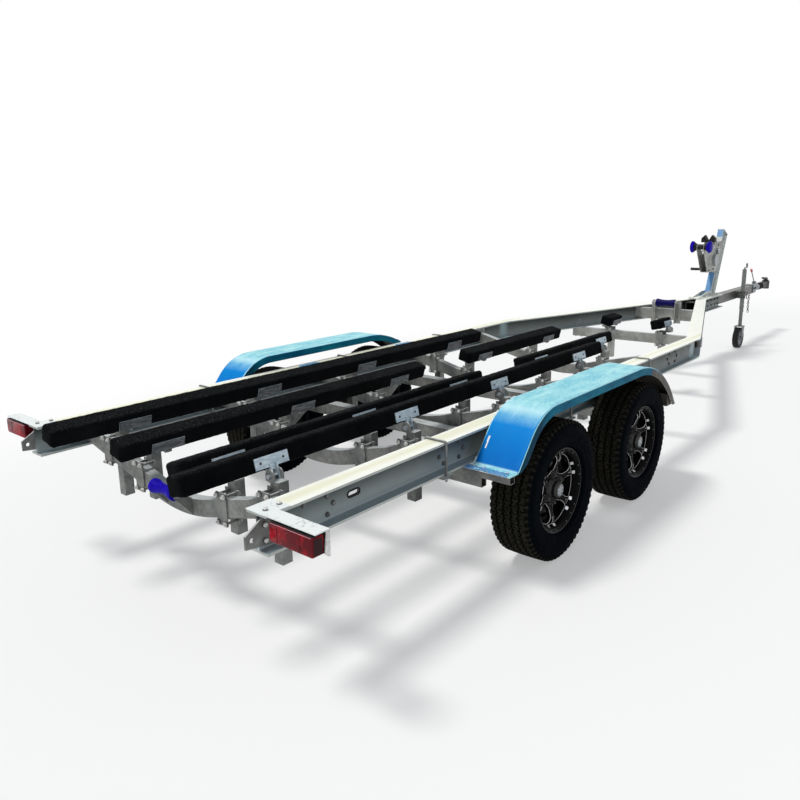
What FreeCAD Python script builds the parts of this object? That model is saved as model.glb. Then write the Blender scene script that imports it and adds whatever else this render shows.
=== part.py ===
import FreeCAD, Part
import math
import os
from FreeCAD import Matrix, Vector

# Tandem boat trailer. X runs forward to the coupling, Y to the left, Z up from the ground.
# Lengths along X are measured from the rear axle, and the finished pieces are moved so that
# the origin lies under the middle of the trailer. Left-hand pieces are mirrored to the right.

os.makedirs("parts", exist_ok=True)

# Overall reach behind and ahead of the rear axle
REAR_REACH = 1720.0
NOSE_REACH = 7950.0

# Wheels and tyres
TYRE_RADIUS = 350.0
TYRE_WIDTH = 215.0
TYRE_OUTER_Y = 1110.0
BEAD_RADIUS = 191.0
RIM_WIDTH = 152.0
RIM_LIP_RADIUS = 212.0
RIM_WALL = 6.0
LIP_GAP = 2.0
SPOKE_PAIRS = 6
STUD_COUNT = 6
STUD_CIRCLE_RADIUS = 70.0
HUB_BORE_RADIUS = 53.0
AXLE_SPACING = 967.0
AXLE_TUBE_SIZE = 75.0
AXLE_TUBE_HEIGHT = 455.0
SWING_ARM_REACH = 150.0
AXLE_PAD_LENGTH = 240.0
SPINDLE_RADIUS = 18.0
BRAKE_DISC_RADIUS = 125.0
BRAKE_DISC_THICK = 12.0
RUNNING_GAP = 6.0
SEAT_GAP = 0.3

# Main I-beam rails, their bend and the clamped front end
RAIL_Y = 832.0
RAIL_ABOVE_AXLE_TUBE = 117.0
RAIL_DEPTH = 145.0
FLANGE_WIDTH = 100.0
FLANGE_THICK = 10.0
WEB_THICK = 7.0
RAIL_REAR_X = -1630.0
BEND_X = 2550.0
JOIN_SETBACK = 2850.0
RAIL_CLAMP_LENGTH = 600.0
BEND_RADIUS = 300.0
GLAND_SLOT_LENGTH = 62.0
GLAND_SLOT_HEIGHT = 24.0
GLAND_SLOT_X = -1172.0

# Drawbar between the rails
DRAWBAR_SIZE = 100.0
DRAWBAR_WALL = 6.0
DRAWBAR_OVERLAP = 170.0
DRAWBAR_SETBACK = 750.0

# Heights and stations that follow the axles and the coupling
RAIL_BOTTOM = AXLE_TUBE_HEIGHT + RAIL_ABOVE_AXLE_TUBE
RAIL_TOP = RAIL_BOTTOM + RAIL_DEPTH
JOIN_X = NOSE_REACH - JOIN_SETBACK
RAIL_FRONT_X = JOIN_X + RAIL_CLAMP_LENGTH
DRAWBAR_REAR_X = JOIN_X - DRAWBAR_OVERLAP
DRAWBAR_FRONT_X = NOSE_REACH - DRAWBAR_SETBACK
ARM_LENGTH_X = JOIN_X - BEND_X

# Bent crossmembers, their end plates and stations
CROSS_STATIONS = (-1370.0, -550.0, 250.0, 1200.0, 2110.0)
CROSS_DEPTH = 75.0
CROSS_WIDTH = 50.0
CROSS_SLOPE = 14.0
CROSS_BEND_RADIUS = 800.0
END_PLATE_LENGTH = 205.0
END_PLATE_HEIGHT = 112.0
END_PLATE_THICK = 8.0
BOLT_RADIUS = 6.0
BOLT_HEAD_RADIUS = 9.5
BOLT_HEAD_THICK = 8.0

# Straight crossmember under the arms and the roller channel between them
FRONT_CROSS_PLACE = 910 / 2550
FRONT_CROSS_X = BEND_X + ARM_LENGTH_X * FRONT_CROSS_PLACE
FRONT_CROSS_DEPTH = 85.0
FRONT_CROSS_WIDTH = 50.0
ROLLER_CROSS_PLACE = 1710 / 2550
ROLLER_CROSS_X = BEND_X + ARM_LENGTH_X * ROLLER_CROSS_PLACE
ROLLER_CROSS_DEPTH = 108.0
ROLLER_CROSS_WIDTH = 50.0
ROLLER_CROSS_WALL = 6.0

# Bunk posts clamped to the crossmembers
POST_SIZE = 50.0
POST_WALL = 4.0
OUTER_POST_Y = 585.0
INNER_POST_Y = 310.0
OUTER_POST_BOTTOM = RAIL_BOTTOM - 232.0
INNER_POST_BOTTOM = RAIL_BOTTOM - 182.0
FRONT_POST_Y = 240.0
FRONT_POST_BOTTOM = RAIL_BOTTOM - 267.0
CLAMP_WIDTH = 66.0
CLAMP_THICK = 6.0
CLAMP_ROD_RADIUS = 6.0
CLAMP_OVERLAP = 24.0

# Bunks
BUNK_WIDTH = 100.0
BUNK_HEIGHT = 82.0
BUNK_CORNER_RADIUS = 12.0
BUNK_TILT = 14.0
BUNK_BEVEL = 22.0
OUTER_BUNK_Y = 492.0
OUTER_BUNK_Z = RAIL_TOP + 33.0
OUTER_BUNK_X = (-REAR_REACH, 1600.0)
INNER_BUNK_Y = 222.0
INNER_BUNK_Z = RAIL_TOP - 22.0
INNER_REAR_BUNK_X = (-1555.0, 560.0)
INNER_FRONT_BUNK_X = (1050.0, 2370.0)
PAD_Y = 235.0
PAD_Z = RAIL_TOP - 52.0
PAD_X = (FRONT_CROSS_X - 110.0, FRONT_CROSS_X + 150.0)
BUNK_PLATE_LENGTH = 165.0
BUNK_PLATE_HEIGHT = 46.0
BUNK_PLATE_THICK = 5.0
BUNK_PLATE_RISE = 8.0
CRADLE_STRAP_WIDTH = 34.0
EAR_RADIUS = 26.0
EAR_THICK = 6.0
TAB_THICK = 8.0
PIVOT_RADIUS = 7.0

# Mudguards
GUARD_INNER_Y = 888.0
GUARD_OUTER_Y = 1122.0
GUARD_THICK = 4.0
GUARD_SKIRT = 44.0
GUARD_TOP = RAIL_TOP + 95.0
GUARD_FLAT_X = (-255.0, 1183.0)
GUARD_FOOT_X = -452.0
GUARD_TOE_X = 1404.0
GUARD_TOE_Z = RAIL_BOTTOM - 76.0
GUARD_FLANGE = 72.0
GUARD_BEND_RADIUS = 300.0
GUARD_FRONT_RADIUS = 690.0
GUARD_FOOT_RADIUS = 30.0
OUTRIGGER_WIDTH = 40.0
OUTRIGGER_DEPTH = 84.0
OUTRIGGER_STEP_Y = 966.0
OUTRIGGER_END_Y = 1110.0
OUTRIGGER_FRONT_X = (1296.0, 1336.0)
SADDLE_ROD_RADIUS = 6.0
SADDLE_PLATE_LENGTH = 70.0
SADDLE_PLATE_THICK = 8.0
SADDLE_STATIONS = (-655.0, 480.0, 1560.0)

# Rear lamps and strap eyes
LAMP_LENGTH = 200.0
LAMP_HEIGHT = 74.0
LAMP_DEPTH = 54.0
LAMP_INNER_Y = 904.0
LAMP_REAR_X = -1642.0
LAMP_TOP = RAIL_TOP - 5.0
LAMP_PLATE_THICK = 4.0
LAMP_PLATE_DROP = 92.0
EYE_REAR_X = -1690.0
EYE_LENGTH = 130.0
EYE_NOSE_Z = (RAIL_BOTTOM + 34.0, RAIL_BOTTOM + 80.0)
EYE_ROOT_Z = (RAIL_BOTTOM + 18.0, RAIL_TOP - 17.0)
EYE_SHOULDER_SETBACK = 80.0
EYE_HOLE_SETBACK = 27.0
EYE_HOLE_Z = RAIL_BOTTOM + 60.0
EYE_PLATE_THICK = 8.0
EYE_HOLE_RADIUS = 9.0
MARKER_LENGTH = 60.0
MARKER_HEIGHT = 44.0
MARKER_DEPTH = 18.0
MARKER_SETBACK = 95.0
MARKER_DROP = 4.0

# Keel rollers
REAR_ROLLER_LENGTH = 160.0
REAR_ROLLER_RADIUS = 32.0
REAR_ROLLER_WAIST = 22.0
FRONT_ROLLER_LENGTH = 180.0
FRONT_ROLLER_RADIUS = 37.0
FRONT_ROLLER_WAIST = 29.0
KEEL_PIN_RADIUS = 9.0
REAR_ROLLER_X = -1462.0
REAR_ROLLER_Z = RAIL_BOTTOM - 27.0
FRONT_ROLLER_Z = RAIL_TOP + 45.0
ROLLER_ANGLE_LEG = 50.0
ROLLER_ANGLE_THICK = 6.0
ROLLER_ANGLE_HOLE_RADIUS = 7.0
ROLLER_ANGLE_HOLE_PITCH = 32.0

# Winch post, its bracket, winch and bow roller
WINCH_POST_X = JOIN_X + 355.0
WINCH_POST_TOP = RAIL_TOP + 717.0
WINCH_POST_LEAN = 24.0
WINCH_POST_DEPTH = 155.0
WINCH_POST_WIDTH = 64.0
WINCH_POST_WALL = 7.0
WINCH_POST_CAP = 6.0
FOOT_PLATE_X = (JOIN_X - 80.0, RAIL_FRONT_X - 10.0)
FOOT_PLATE_WIDTH = 120.0
FOOT_PLATE_THICK = 10.0
GUSSET_HEIGHT = 46.0
SIDE_PLATE_THICK = 6.0
SIDE_PLATE_REAR = WINCH_POST_X - 165.0
SIDE_PLATE_LOW = WINCH_POST_TOP - 449.0
SIDE_PLATE_HIGH = WINCH_POST_TOP - 126.0
BOW_STOP_X = (WINCH_POST_X - 105.0, WINCH_POST_X - 45.0)
BOW_STOP_WIDTH = 144.0
BOW_STOP_HEIGHT = 78.0
BOW_STOP_PEAK_Y = 38.0
BOW_ROLLER_X = WINCH_POST_X - 310.0
BOW_ROLLER_Z = WINCH_POST_TOP - 166.0
BOW_ROLLER_LENGTH = 206.0
BOW_ROLLER_RADIUS = 62.0
BOW_ROLLER_WAIST = 25.0
BOW_PIN_RADIUS = 9.0
DRUM_X = WINCH_POST_X + 35.0
DRUM_Z = WINCH_POST_TOP - 324.0
DRUM_RADIUS = 26.0
DRUM_FLANGE_RADIUS = 52.0
DRUM_LENGTH = 40.0
DRUM_SHAFT_RADIUS = 9.0
GEAR_COVER_RADIUS = 62.0
GEAR_COVER_DEPTH = 26.0
CRANK_X = WINCH_POST_X + 101.0
CRANK_Z = WINCH_POST_TOP - 229.0
CRANK_ARM = 205.0
CRANK_ARM_WIDTH = 24.0
CRANK_ARM_THICK = 8.0
CRANK_ARM_Y = 118.0
CRANK_GRIP_LENGTH = 105.0
CRANK_GRIP_RADIUS = 15.0
CRANK_SHAFT_RADIUS = 8.0

# Jockey wheel
JOCKEY_X = DRAWBAR_FRONT_X - 800.0
JOCKEY_Y = -120.0
JOCKEY_TUBE_RADIUS = 24.0
JOCKEY_TUBE_Z = (RAIL_BOTTOM - 102.0, RAIL_TOP + 233.0)
JOCKEY_LEG_RADIUS = 20.5
JOCKEY_LEG_CLEARANCE = 0.5
JOCKEY_WHEEL_RADIUS = 125.0
JOCKEY_WHEEL_WIDTH = 68.0
JOCKEY_TRAIL = 42.0
JOCKEY_RIM_RADIUS = 80.0
JOCKEY_PIN_RADIUS = 8.0
JOCKEY_LEG_TOP = RAIL_TOP - 17.0
FORK_THICK = 6.0
FORK_TOP_Z = 268.0
FORK_STEM_RADIUS = 10.0
CLAMP_BODY_HEIGHT = 84.0

# Coupling
COUPLING_BODY_X = (DRAWBAR_FRONT_X - 120.0, DRAWBAR_FRONT_X + 270.0)
COUPLING_WALL = 8.0
COUPLING_SLIDE_RADIUS = 25.0
LEVER_X = DRAWBAR_FRONT_X + 130.0
LEVER_PIVOT_Z = RAIL_TOP - 5.0
LEVER_PIN_RADIUS = 6.0
LEVER_LENGTH = 265.0
LEVER_LEAN = 46.0
BELLOWS_X = (COUPLING_BODY_X[1], COUPLING_BODY_X[1] + 170.0)
BELLOWS_RADIUS = 44.0
BELLOWS_FOLDS = 6
BALL_SOCKET_X = NOSE_REACH - 55.0
BALL_SOCKET_RADIUS = 25.3
SOCKET_CENTRE_Z = RAIL_BOTTOM + 50.0
HEAD_RADIUS = 48.0
HEAD_TOP = 62.0
HEAD_DROP = 58.0

FRONT_ROLLER_X = ROLLER_CROSS_X - ROLLER_CROSS_WIDTH / 2 - ROLLER_ANGLE_LEG / 2
MID_X = (NOSE_REACH - REAR_REACH) / 2
WHEEL_Y = TYRE_OUTER_Y - TYRE_WIDTH / 2
RAIL_AXIS_Z = RAIL_TOP - RAIL_DEPTH / 2
JOIN_Y = (DRAWBAR_SIZE + WEB_THICK) / 2
RAIL_POINTS = ((RAIL_REAR_X, RAIL_Y), (BEND_X, RAIL_Y), (JOIN_X, JOIN_Y), (RAIL_FRONT_X, JOIN_Y))
RAIL_RADII = (BEND_RADIUS, BEND_RADIUS)
AXLE_STATIONS = {"rear": 0.0, "front": AXLE_SPACING}
X_AXIS = Vector(1, 0, 0)
Y_AXIS = Vector(0, 1, 0)
ORIGIN = Vector(0, 0, 0)


def export(name, shape):
    """Move a piece from rear-axle stations to the trailer's own origin and write it."""
    moved = shape.copy()
    moved.translate(Vector(-MID_X, 0, 0))
    moved.exportStep("parts/" + name + ".step")


def box(x_span, y_span, z_span):
    """Box between the low and high values along each axis."""
    corner = Vector(x_span[0], y_span[0], z_span[0])
    size = [span[1] - span[0] for span in (x_span, y_span, z_span)]
    return Part.makeBox(size[0], size[1], size[2], corner)


def around(middle, size):
    """Span of the given size centred on a value."""
    return (middle - size / 2, middle + size / 2)


def rod(start, end, radius):
    """Round bar between two points."""
    axis = end - start
    return Part.makeCylinder(radius, axis.Length, start, axis)


def fuse(shapes):
    """One clean solid from pieces that are welded together."""
    result = shapes[0]
    if len(shapes) > 1:
        result = shapes[0].fuse(shapes[1:])
    return result.removeSplitter()


def other_side(shape):
    """Mirror image on the right-hand side of the trailer."""
    return shape.mirror(ORIGIN, Y_AXIS)


def both_sides(shape):
    """Left and right copies in one shape, as solids that don't touch."""
    return Part.makeCompound([shape, other_side(shape)])


def corner_tangents(before, corner, after, radius):
    """Tangent points and middle point of the arc that rounds a corner."""
    arriving = (corner - before).normalize()
    leaving = (after - corner).normalize()
    turn = arriving.getAngle(leaving)
    reach = radius * math.tan(turn / 2)
    inward = (leaving - arriving).normalize()
    middle = corner + inward * (radius / math.cos(turn / 2) - radius)
    return corner - arriving * reach, middle, corner + leaving * reach


def offset_corners(points, offset):
    """Corners of the line that runs at a constant distance to the left of a polyline."""
    headings = [(b - a).normalize() for a, b in zip(points, points[1:])]
    normals = [Vector(-h.y, h.x, 0) for h in headings]
    corners = [points[0] + normals[0] * offset]
    for point, first, second in zip(points[1:-1], normals, normals[1:]):
        corners.append(point + (first + second) * (offset / (1 + first.dot(second))))
    corners.append(points[-1] + normals[-1] * offset)
    return corners


def rounded_line(points, radii):
    """Edges along a polyline whose inner corners are rounded."""
    edges = []
    start = points[0]
    for before, corner, after, radius in zip(points, points[1:], points[2:], radii):
        entry, middle, leave = corner_tangents(before, corner, after, radius)
        edges.append(Part.makeLine(start, entry))
        edges.append(Part.Arc(entry, middle, leave).toShape())
        start = leave
    edges.append(Part.makeLine(start, points[-1]))
    return edges


def ribbon(flat_points, bend_radii, low, high):
    """Face between two lines parallel to a polyline, with its bends rounded."""
    points = [Vector(u, v, 0) for u, v in flat_points]
    turns = []
    for before, corner, after in zip(points, points[1:], points[2:]):
        turns.append(1 if (corner - before).cross(after - corner).z > 0 else -1)
    lines = []
    for offset in (low, high):
        radii = [radius - turn * offset for radius, turn in zip(bend_radii, turns)]
        lines.append(rounded_line(offset_corners(points, offset), radii))
    first, second = lines
    caps = [Part.makeLine(first[end].Vertexes[end].Point, second[end].Vertexes[end].Point)
            for end in (0, -1)]
    return Part.Face(Part.Wire(Part.__sortEdges__(first + second + caps)))


def outline(points, radius=0.0):
    """Face with straight sides, its corners rounded alike where a radius is given."""
    vectors = [Vector(u, v, 0) for u, v in points]
    if radius <= 0:
        return Part.Face(Part.makePolygon(vectors + vectors[:1]))
    edges = []
    count = len(vectors)
    ends = []
    for index, corner in enumerate(vectors):
        before, after = vectors[index - 1], vectors[(index + 1) % count]
        ends.append(corner_tangents(before, corner, after, radius))
    for index, (entry, middle, leave) in enumerate(ends):
        edges.append(Part.Arc(entry, middle, leave).toShape())
        edges.append(Part.makeLine(leave, ends[(index + 1) % count][0]))
    return Part.Face(Part.Wire(edges))


def across_trailer(face, x_span):
    """Solid from a face drawn in (y, z), standing square to the trailer's length."""
    solid = face.extrude(Vector(0, 0, x_span[1] - x_span[0]))
    solid.transformShape(Matrix(0, 0, 1, x_span[0], 1, 0, 0, 0, 0, 1, 0, 0, 0, 0, 0, 1))
    return solid


def side_profile(face, y_span):
    """Solid from a face drawn in (x, z), extruded across the trailer."""
    solid = face.extrude(Vector(0, 0, y_span[1] - y_span[0]))
    solid.transformShape(Matrix(1, 0, 0, 0, 0, 0, -1, y_span[1], 0, 1, 0, 0, 0, 0, 0, 1))
    return solid


def turned(profile_edges, centre, axis=Y_AXIS):
    """Solid of revolution about a line along Y, from a closed profile in (y, radius)."""
    solid = Part.Face(Part.Wire(profile_edges)).revolve(ORIGIN, Y_AXIS, 360)
    if axis != Y_AXIS:
        solid.Placement = FreeCAD.Placement(ORIGIN, FreeCAD.Rotation(Y_AXIS, axis))
    solid.translate(centre)
    return solid


def turned_polygon(profile, centre, axis=Y_AXIS):
    """Solid of revolution from (distance along the axis, radius) corners."""
    points = [Vector(radius, along, 0) for along, radius in profile]
    edges = [Part.makeLine(a, b) for a, b in zip(points, points[1:] + points[:1])]
    return turned(edges, centre, axis)


def rail():
    """Left main rail: an I-beam that bends in to the drawbar and runs on beside it."""
    half = FLANGE_WIDTH / 2
    flange = ribbon(RAIL_POINTS, RAIL_RADII, -half, half).extrude(Vector(0, 0, FLANGE_THICK))
    bottom = flange.copy()
    bottom.translate(Vector(0, 0, RAIL_BOTTOM))
    top = flange.copy()
    top.translate(Vector(0, 0, RAIL_TOP - FLANGE_THICK))
    web = ribbon(RAIL_POINTS, RAIL_RADII, -WEB_THICK / 2, WEB_THICK / 2)
    web = web.extrude(Vector(0, 0, RAIL_DEPTH - 2 * FLANGE_THICK))
    web.translate(Vector(0, 0, RAIL_BOTTOM + FLANGE_THICK))
    beam = fuse([bottom, web, top])
    return beam.cut(gland_slot())


def gland_slot():
    """Oval slot through the rail's web for the lamp wiring."""
    span = around(RAIL_Y, 2 * WEB_THICK)
    half = GLAND_SLOT_HEIGHT / 2
    reach = (GLAND_SLOT_LENGTH - GLAND_SLOT_HEIGHT) / 2
    middle = box(around(GLAND_SLOT_X, 2 * reach), span, around(RAIL_AXIS_Z, 2 * half))
    ends = [rod(Vector(GLAND_SLOT_X + shift, span[0], RAIL_AXIS_Z),
                Vector(GLAND_SLOT_X + shift, span[1], RAIL_AXIS_Z), half)
            for shift in (-reach, reach)]
    return fuse([middle] + ends)


def cross_centreline_z(y):
    """Height of a bent crossmember's axis on its straight arm, at a distance from the middle."""
    inner_web_y = RAIL_Y - WEB_THICK / 2
    return RAIL_AXIS_Z - (inner_web_y - abs(y)) * math.tan(math.radians(CROSS_SLOPE))


def cross_end_y():
    """Where a crossmember meets its end plate."""
    return RAIL_Y - WEB_THICK / 2 - END_PLATE_THICK


def bent_crossmember(station):
    """V-shaped box tube with a bolting plate at each rail's web."""
    end_y = cross_end_y()
    points = ((-end_y, cross_centreline_z(end_y)), (0, cross_centreline_z(0)),
              (end_y, cross_centreline_z(end_y)))
    tube = ribbon(points, (CROSS_BEND_RADIUS,), -CROSS_DEPTH / 2, CROSS_DEPTH / 2)
    tube = across_trailer(tube, around(station, CROSS_WIDTH))
    below_flange = box(around(station, CROSS_WIDTH), (-end_y, end_y),
                       (0, RAIL_TOP - FLANGE_THICK - SEAT_GAP))
    tube = tube.common(below_flange)
    plate = box(around(station, END_PLATE_LENGTH), (end_y, end_y + END_PLATE_THICK),
                around(RAIL_AXIS_Z, END_PLATE_HEIGHT))
    return fuse([tube, plate, other_side(plate)])


def arm_y(x):
    """Distance of an arm's web from the middle, between the two bends."""
    share = (x - BEND_X) / (JOIN_X - BEND_X)
    return RAIL_Y + (JOIN_Y - RAIL_Y) * share


def front_crossmember():
    """Straight box tube bolted up under the two arms."""
    reach = arm_y(FRONT_CROSS_X) + FLANGE_WIDTH / 2
    return box(around(FRONT_CROSS_X, FRONT_CROSS_WIDTH), (-reach, reach),
               (RAIL_BOTTOM - FRONT_CROSS_DEPTH, RAIL_BOTTOM))


def roller_crossmember():
    """Channel between the arms, open to the front, that carries the front keel roller."""
    rear = ROLLER_CROSS_X - ROLLER_CROSS_WIDTH / 2
    front = ROLLER_CROSS_X + ROLLER_CROSS_WIDTH / 2
    spread = (BEND_X - JOIN_X) / (RAIL_Y - JOIN_Y)
    corners = []
    for x, side in ((rear, 1), (rear, -1), (front, -1), (front, 1)):
        corners.append((x, side * (arm_y(x) - WEB_THICK / 2 * math.hypot(1, 1 / spread))))
    z_span = around(RAIL_AXIS_Z, ROLLER_CROSS_DEPTH)
    body = outline(corners).extrude(Vector(0, 0, ROLLER_CROSS_DEPTH))
    body.translate(Vector(0, 0, z_span[0]))
    hollow = box((rear + ROLLER_CROSS_WALL, front + 1), (-RAIL_Y, RAIL_Y),
                 (z_span[0] + ROLLER_CROSS_WALL, z_span[1] - ROLLER_CROSS_WALL))
    return body.cut(hollow)


def drawbar():
    """Square tube clamped between the rails' webs."""
    outer = box((DRAWBAR_REAR_X, DRAWBAR_FRONT_X), around(0, DRAWBAR_SIZE),
                around(RAIL_AXIS_Z, DRAWBAR_SIZE))
    inside = DRAWBAR_SIZE - 2 * DRAWBAR_WALL
    bore = box((DRAWBAR_REAR_X, DRAWBAR_FRONT_X), around(0, inside), around(RAIL_AXIS_Z, inside))
    return outer.cut(bore)


def tyre(centre, radius, width, bead_radius, flank_radius, rim_width):
    """Tyre section: bead inside the rim's lip, bulging wall and a slightly crowned tread."""
    wall_radius = bead_radius + (radius - bead_radius) * 0.55
    shoulder_radius = radius - (radius - bead_radius) * 0.04
    shoulder = width * 0.45
    tread = width * 0.405
    bead = rim_width / 2 - SEAT_GAP
    half = width / 2
    left = [Vector(flank_radius, -bead, 0), Vector(wall_radius, -half, 0),
            Vector(shoulder_radius, -shoulder, 0)]
    toe, far_toe = Vector(bead_radius, -bead, 0), Vector(bead_radius, bead, 0)
    knee = Vector(radius - 1.5, -tread, 0)
    crown = Vector(radius, 0, 0)
    flip = [Vector(p.x, -p.y, 0) for p in left]
    far_knee = Vector(knee.x, -knee.y, 0)
    edges = [Part.Arc(left[0], left[1], left[2]).toShape(),
             Part.makeLine(left[2], knee),
             Part.Arc(knee, crown, far_knee).toShape(),
             Part.makeLine(far_knee, flip[2]),
             Part.Arc(flip[2], flip[1], flip[0]).toShape(),
             Part.makeLine(flip[0], far_toe),
             Part.makeLine(far_toe, toe),
             Part.makeLine(toe, left[0])]
    return turned(edges, centre)


def window(radius_span, angle_span, y_span):
    """Wedge of a ring, used to open the wheel's disc between the spokes."""
    inner, outer = radius_span
    start, end = (math.radians(angle) for angle in angle_span)
    middle = (start + end) / 2
    inner_half = (end - start) / 2 * 0.45

    def point(radius, angle):
        return Vector(radius * math.cos(angle), radius * math.sin(angle), 0)

    a, b = point(inner, middle - inner_half), point(inner, middle + inner_half)
    c, d = point(outer, end), point(outer, start)
    edges = [Part.makeLine(a, b), Part.makeLine(b, c),
             Part.Arc(c, point(outer, middle), d).toShape(), Part.makeLine(d, a)]
    solid = Part.Face(Part.Wire(edges)).extrude(Vector(0, 0, y_span[1] - y_span[0]))
    solid.transformShape(Matrix(1, 0, 0, 0, 0, 0, -1, y_span[1], 0, 1, 0, 0, 0, 0, 0, 1))
    return solid


def rim(centre):
    """Left-hand alloy rim: barrel with lips, dished disc with split spokes, stud holes."""
    half = RIM_WIDTH / 2
    seat = BEAD_RADIUS - SEAT_GAP
    well = seat - 26
    lip = 12
    barrel = [(-half - lip, RIM_LIP_RADIUS), (-half, RIM_LIP_RADIUS), (-half, seat),
              (-half + 24, seat), (-half + 40, well), (half - 66, well), (half - 34, seat),
              (half, seat), (half, RIM_LIP_RADIUS), (half + lip, RIM_LIP_RADIUS),
              (half + lip, RIM_LIP_RADIUS - RIM_WALL), (half + RIM_WALL, seat - RIM_WALL),
              (half - 30, seat - RIM_WALL - 2), (half - 62, well - RIM_WALL),
              (-half + 38, well - RIM_WALL), (-half + 22, seat - RIM_WALL),
              (-half - RIM_WALL, seat - RIM_WALL), (-half - lip, RIM_LIP_RADIUS - RIM_WALL)]
    disc_back, disc_face = 28.0, 52.0
    disc = [(disc_back, HUB_BORE_RADIUS), (disc_back, 90), (disc_back - 8, seat - RIM_WALL - 1),
            (disc_face - 2, seat - RIM_WALL - 1), (disc_face + 10, 150), (disc_face - 6, 96),
            (disc_face - 14, 90), (disc_face - 14, HUB_BORE_RADIUS)]
    body = turned_polygon(disc, ORIGIN)
    pitch = 360 / SPOKE_PAIRS
    cutters = []
    for index in range(SPOKE_PAIRS):
        angle = index * pitch
        cutters.append(window((94, 176), (angle - 19, angle + 19), (0, 90)))
        angle += pitch / 2
        cutters.append(window((128, 176), (angle - 6.5, angle + 6.5), (0, 90)))
    for index in range(STUD_COUNT):
        angle = math.radians((index + 0.5) * 360 / STUD_COUNT)
        spot = Vector(STUD_CIRCLE_RADIUS * math.cos(angle), 0, STUD_CIRCLE_RADIUS * math.sin(angle))
        cutters.append(rod(spot, spot + Y_AXIS * 90, BOLT_RADIUS + 2))
    solid = fuse([turned_polygon(barrel, ORIGIN), body]).cut(cutters)
    solid.translate(centre)
    return solid


def hub(centre):
    """Left-hand hub: mounting flange, bearing barrel, cap, studs with nuts and brake disc."""
    disc_back, face = 28.0, 38.0
    profile = [(disc_back, SPINDLE_RADIUS + 1), (disc_back + 50, SPINDLE_RADIUS + 1),
               (disc_back + 50, 0), (face + 46, 0), (face + 46, 34), (face + 26, 42),
               (face, HUB_BORE_RADIUS - 1), (disc_back - SEAT_GAP, HUB_BORE_RADIUS - 1),
               (disc_back - SEAT_GAP, 88), (disc_back - 12, 88), (disc_back - 12, BRAKE_DISC_RADIUS),
               (disc_back - 12 - BRAKE_DISC_THICK, BRAKE_DISC_RADIUS),
               (disc_back - 12 - BRAKE_DISC_THICK, 45), (-70, 40), (-70, SPINDLE_RADIUS + 1)]
    pieces = [turned_polygon(profile, ORIGIN)]
    for index in range(STUD_COUNT):
        angle = math.radians((index + 0.5) * 360 / STUD_COUNT)
        spot = Vector(STUD_CIRCLE_RADIUS * math.cos(angle), disc_back - 6,
                      STUD_CIRCLE_RADIUS * math.sin(angle))
        pieces.append(rod(spot, spot + Y_AXIS * 38, BOLT_RADIUS))
        nut = Vector(spot.x, face + SEAT_GAP, spot.z)
        pieces.append(rod(nut, nut + Y_AXIS * 16, BOLT_HEAD_RADIUS))
    solid = fuse(pieces)
    solid.translate(centre)
    return solid


def half_axle(station):
    """Left end of a rubber-sprung axle: swing arm, spindle and caliper."""
    arm_y_span = (RAIL_Y + 22, RAIL_Y + 46)
    pivot = Vector(station + SWING_ARM_REACH, 0, AXLE_TUBE_HEIGHT)
    wheel = Vector(station, 0, TYRE_RADIUS)
    along = (wheel - pivot).normalize()
    across = Vector(-along.z, 0, along.x)
    corners = []
    for point, half in ((pivot, 38), (wheel, 30)):
        corners.append((point + across * half, point - across * half))
    order = [corners[0][0], corners[1][0], corners[1][1], corners[0][1]]
    face = outline([(p.x, p.z) for p in order])
    pieces = [side_profile(face, arm_y_span)]
    for point, half in ((pivot, 38), (wheel, 30)):
        start = Vector(point.x, arm_y_span[0], point.z)
        pieces.append(rod(start, Vector(point.x, arm_y_span[1], point.z), half))
    spindle_end = WHEEL_Y + 70
    pieces.append(rod(Vector(station, arm_y_span[1] - 2, TYRE_RADIUS),
                      Vector(station, spindle_end, TYRE_RADIUS), SPINDLE_RADIUS))
    return fuse(pieces)


def axle(station):
    """Whole axle: square tube, hanger brackets under both rails and the two ends."""
    tube_x = station + SWING_ARM_REACH
    half_length = RAIL_Y + 22
    tube = box(around(tube_x, AXLE_TUBE_SIZE), (-half_length, half_length),
               around(AXLE_TUBE_HEIGHT, AXLE_TUBE_SIZE))
    pad = box(around(tube_x, AXLE_PAD_LENGTH), around(RAIL_Y, FLANGE_WIDTH - 6),
              (RAIL_BOTTOM - 8, RAIL_BOTTOM))
    cheek = outline([(tube_x - 110, RAIL_BOTTOM), (tube_x + 110, RAIL_BOTTOM),
                     (tube_x + 58, AXLE_TUBE_HEIGHT - 30), (tube_x - 58, AXLE_TUBE_HEIGHT - 30)])
    cheeks = [side_profile(cheek, (RAIL_Y + shift, RAIL_Y + shift + 8)) for shift in (-38, 10)]
    left = [pad] + cheeks + [half_axle(station)]
    right = [other_side(piece) for piece in left]
    return fuse([tube] + left + right)


def guard_points():
    """Corners of the mudguard's upper face in side view, from its rear foot to its front toe."""
    foot_z = RAIL_BOTTOM + GUARD_THICK
    return ((GUARD_FOOT_X - GUARD_FLANGE, foot_z), (GUARD_FOOT_X, foot_z), (GUARD_FLAT_X[0], GUARD_TOP),
            (GUARD_FLAT_X[1], GUARD_TOP), (GUARD_TOE_X, GUARD_TOE_Z))


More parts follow.
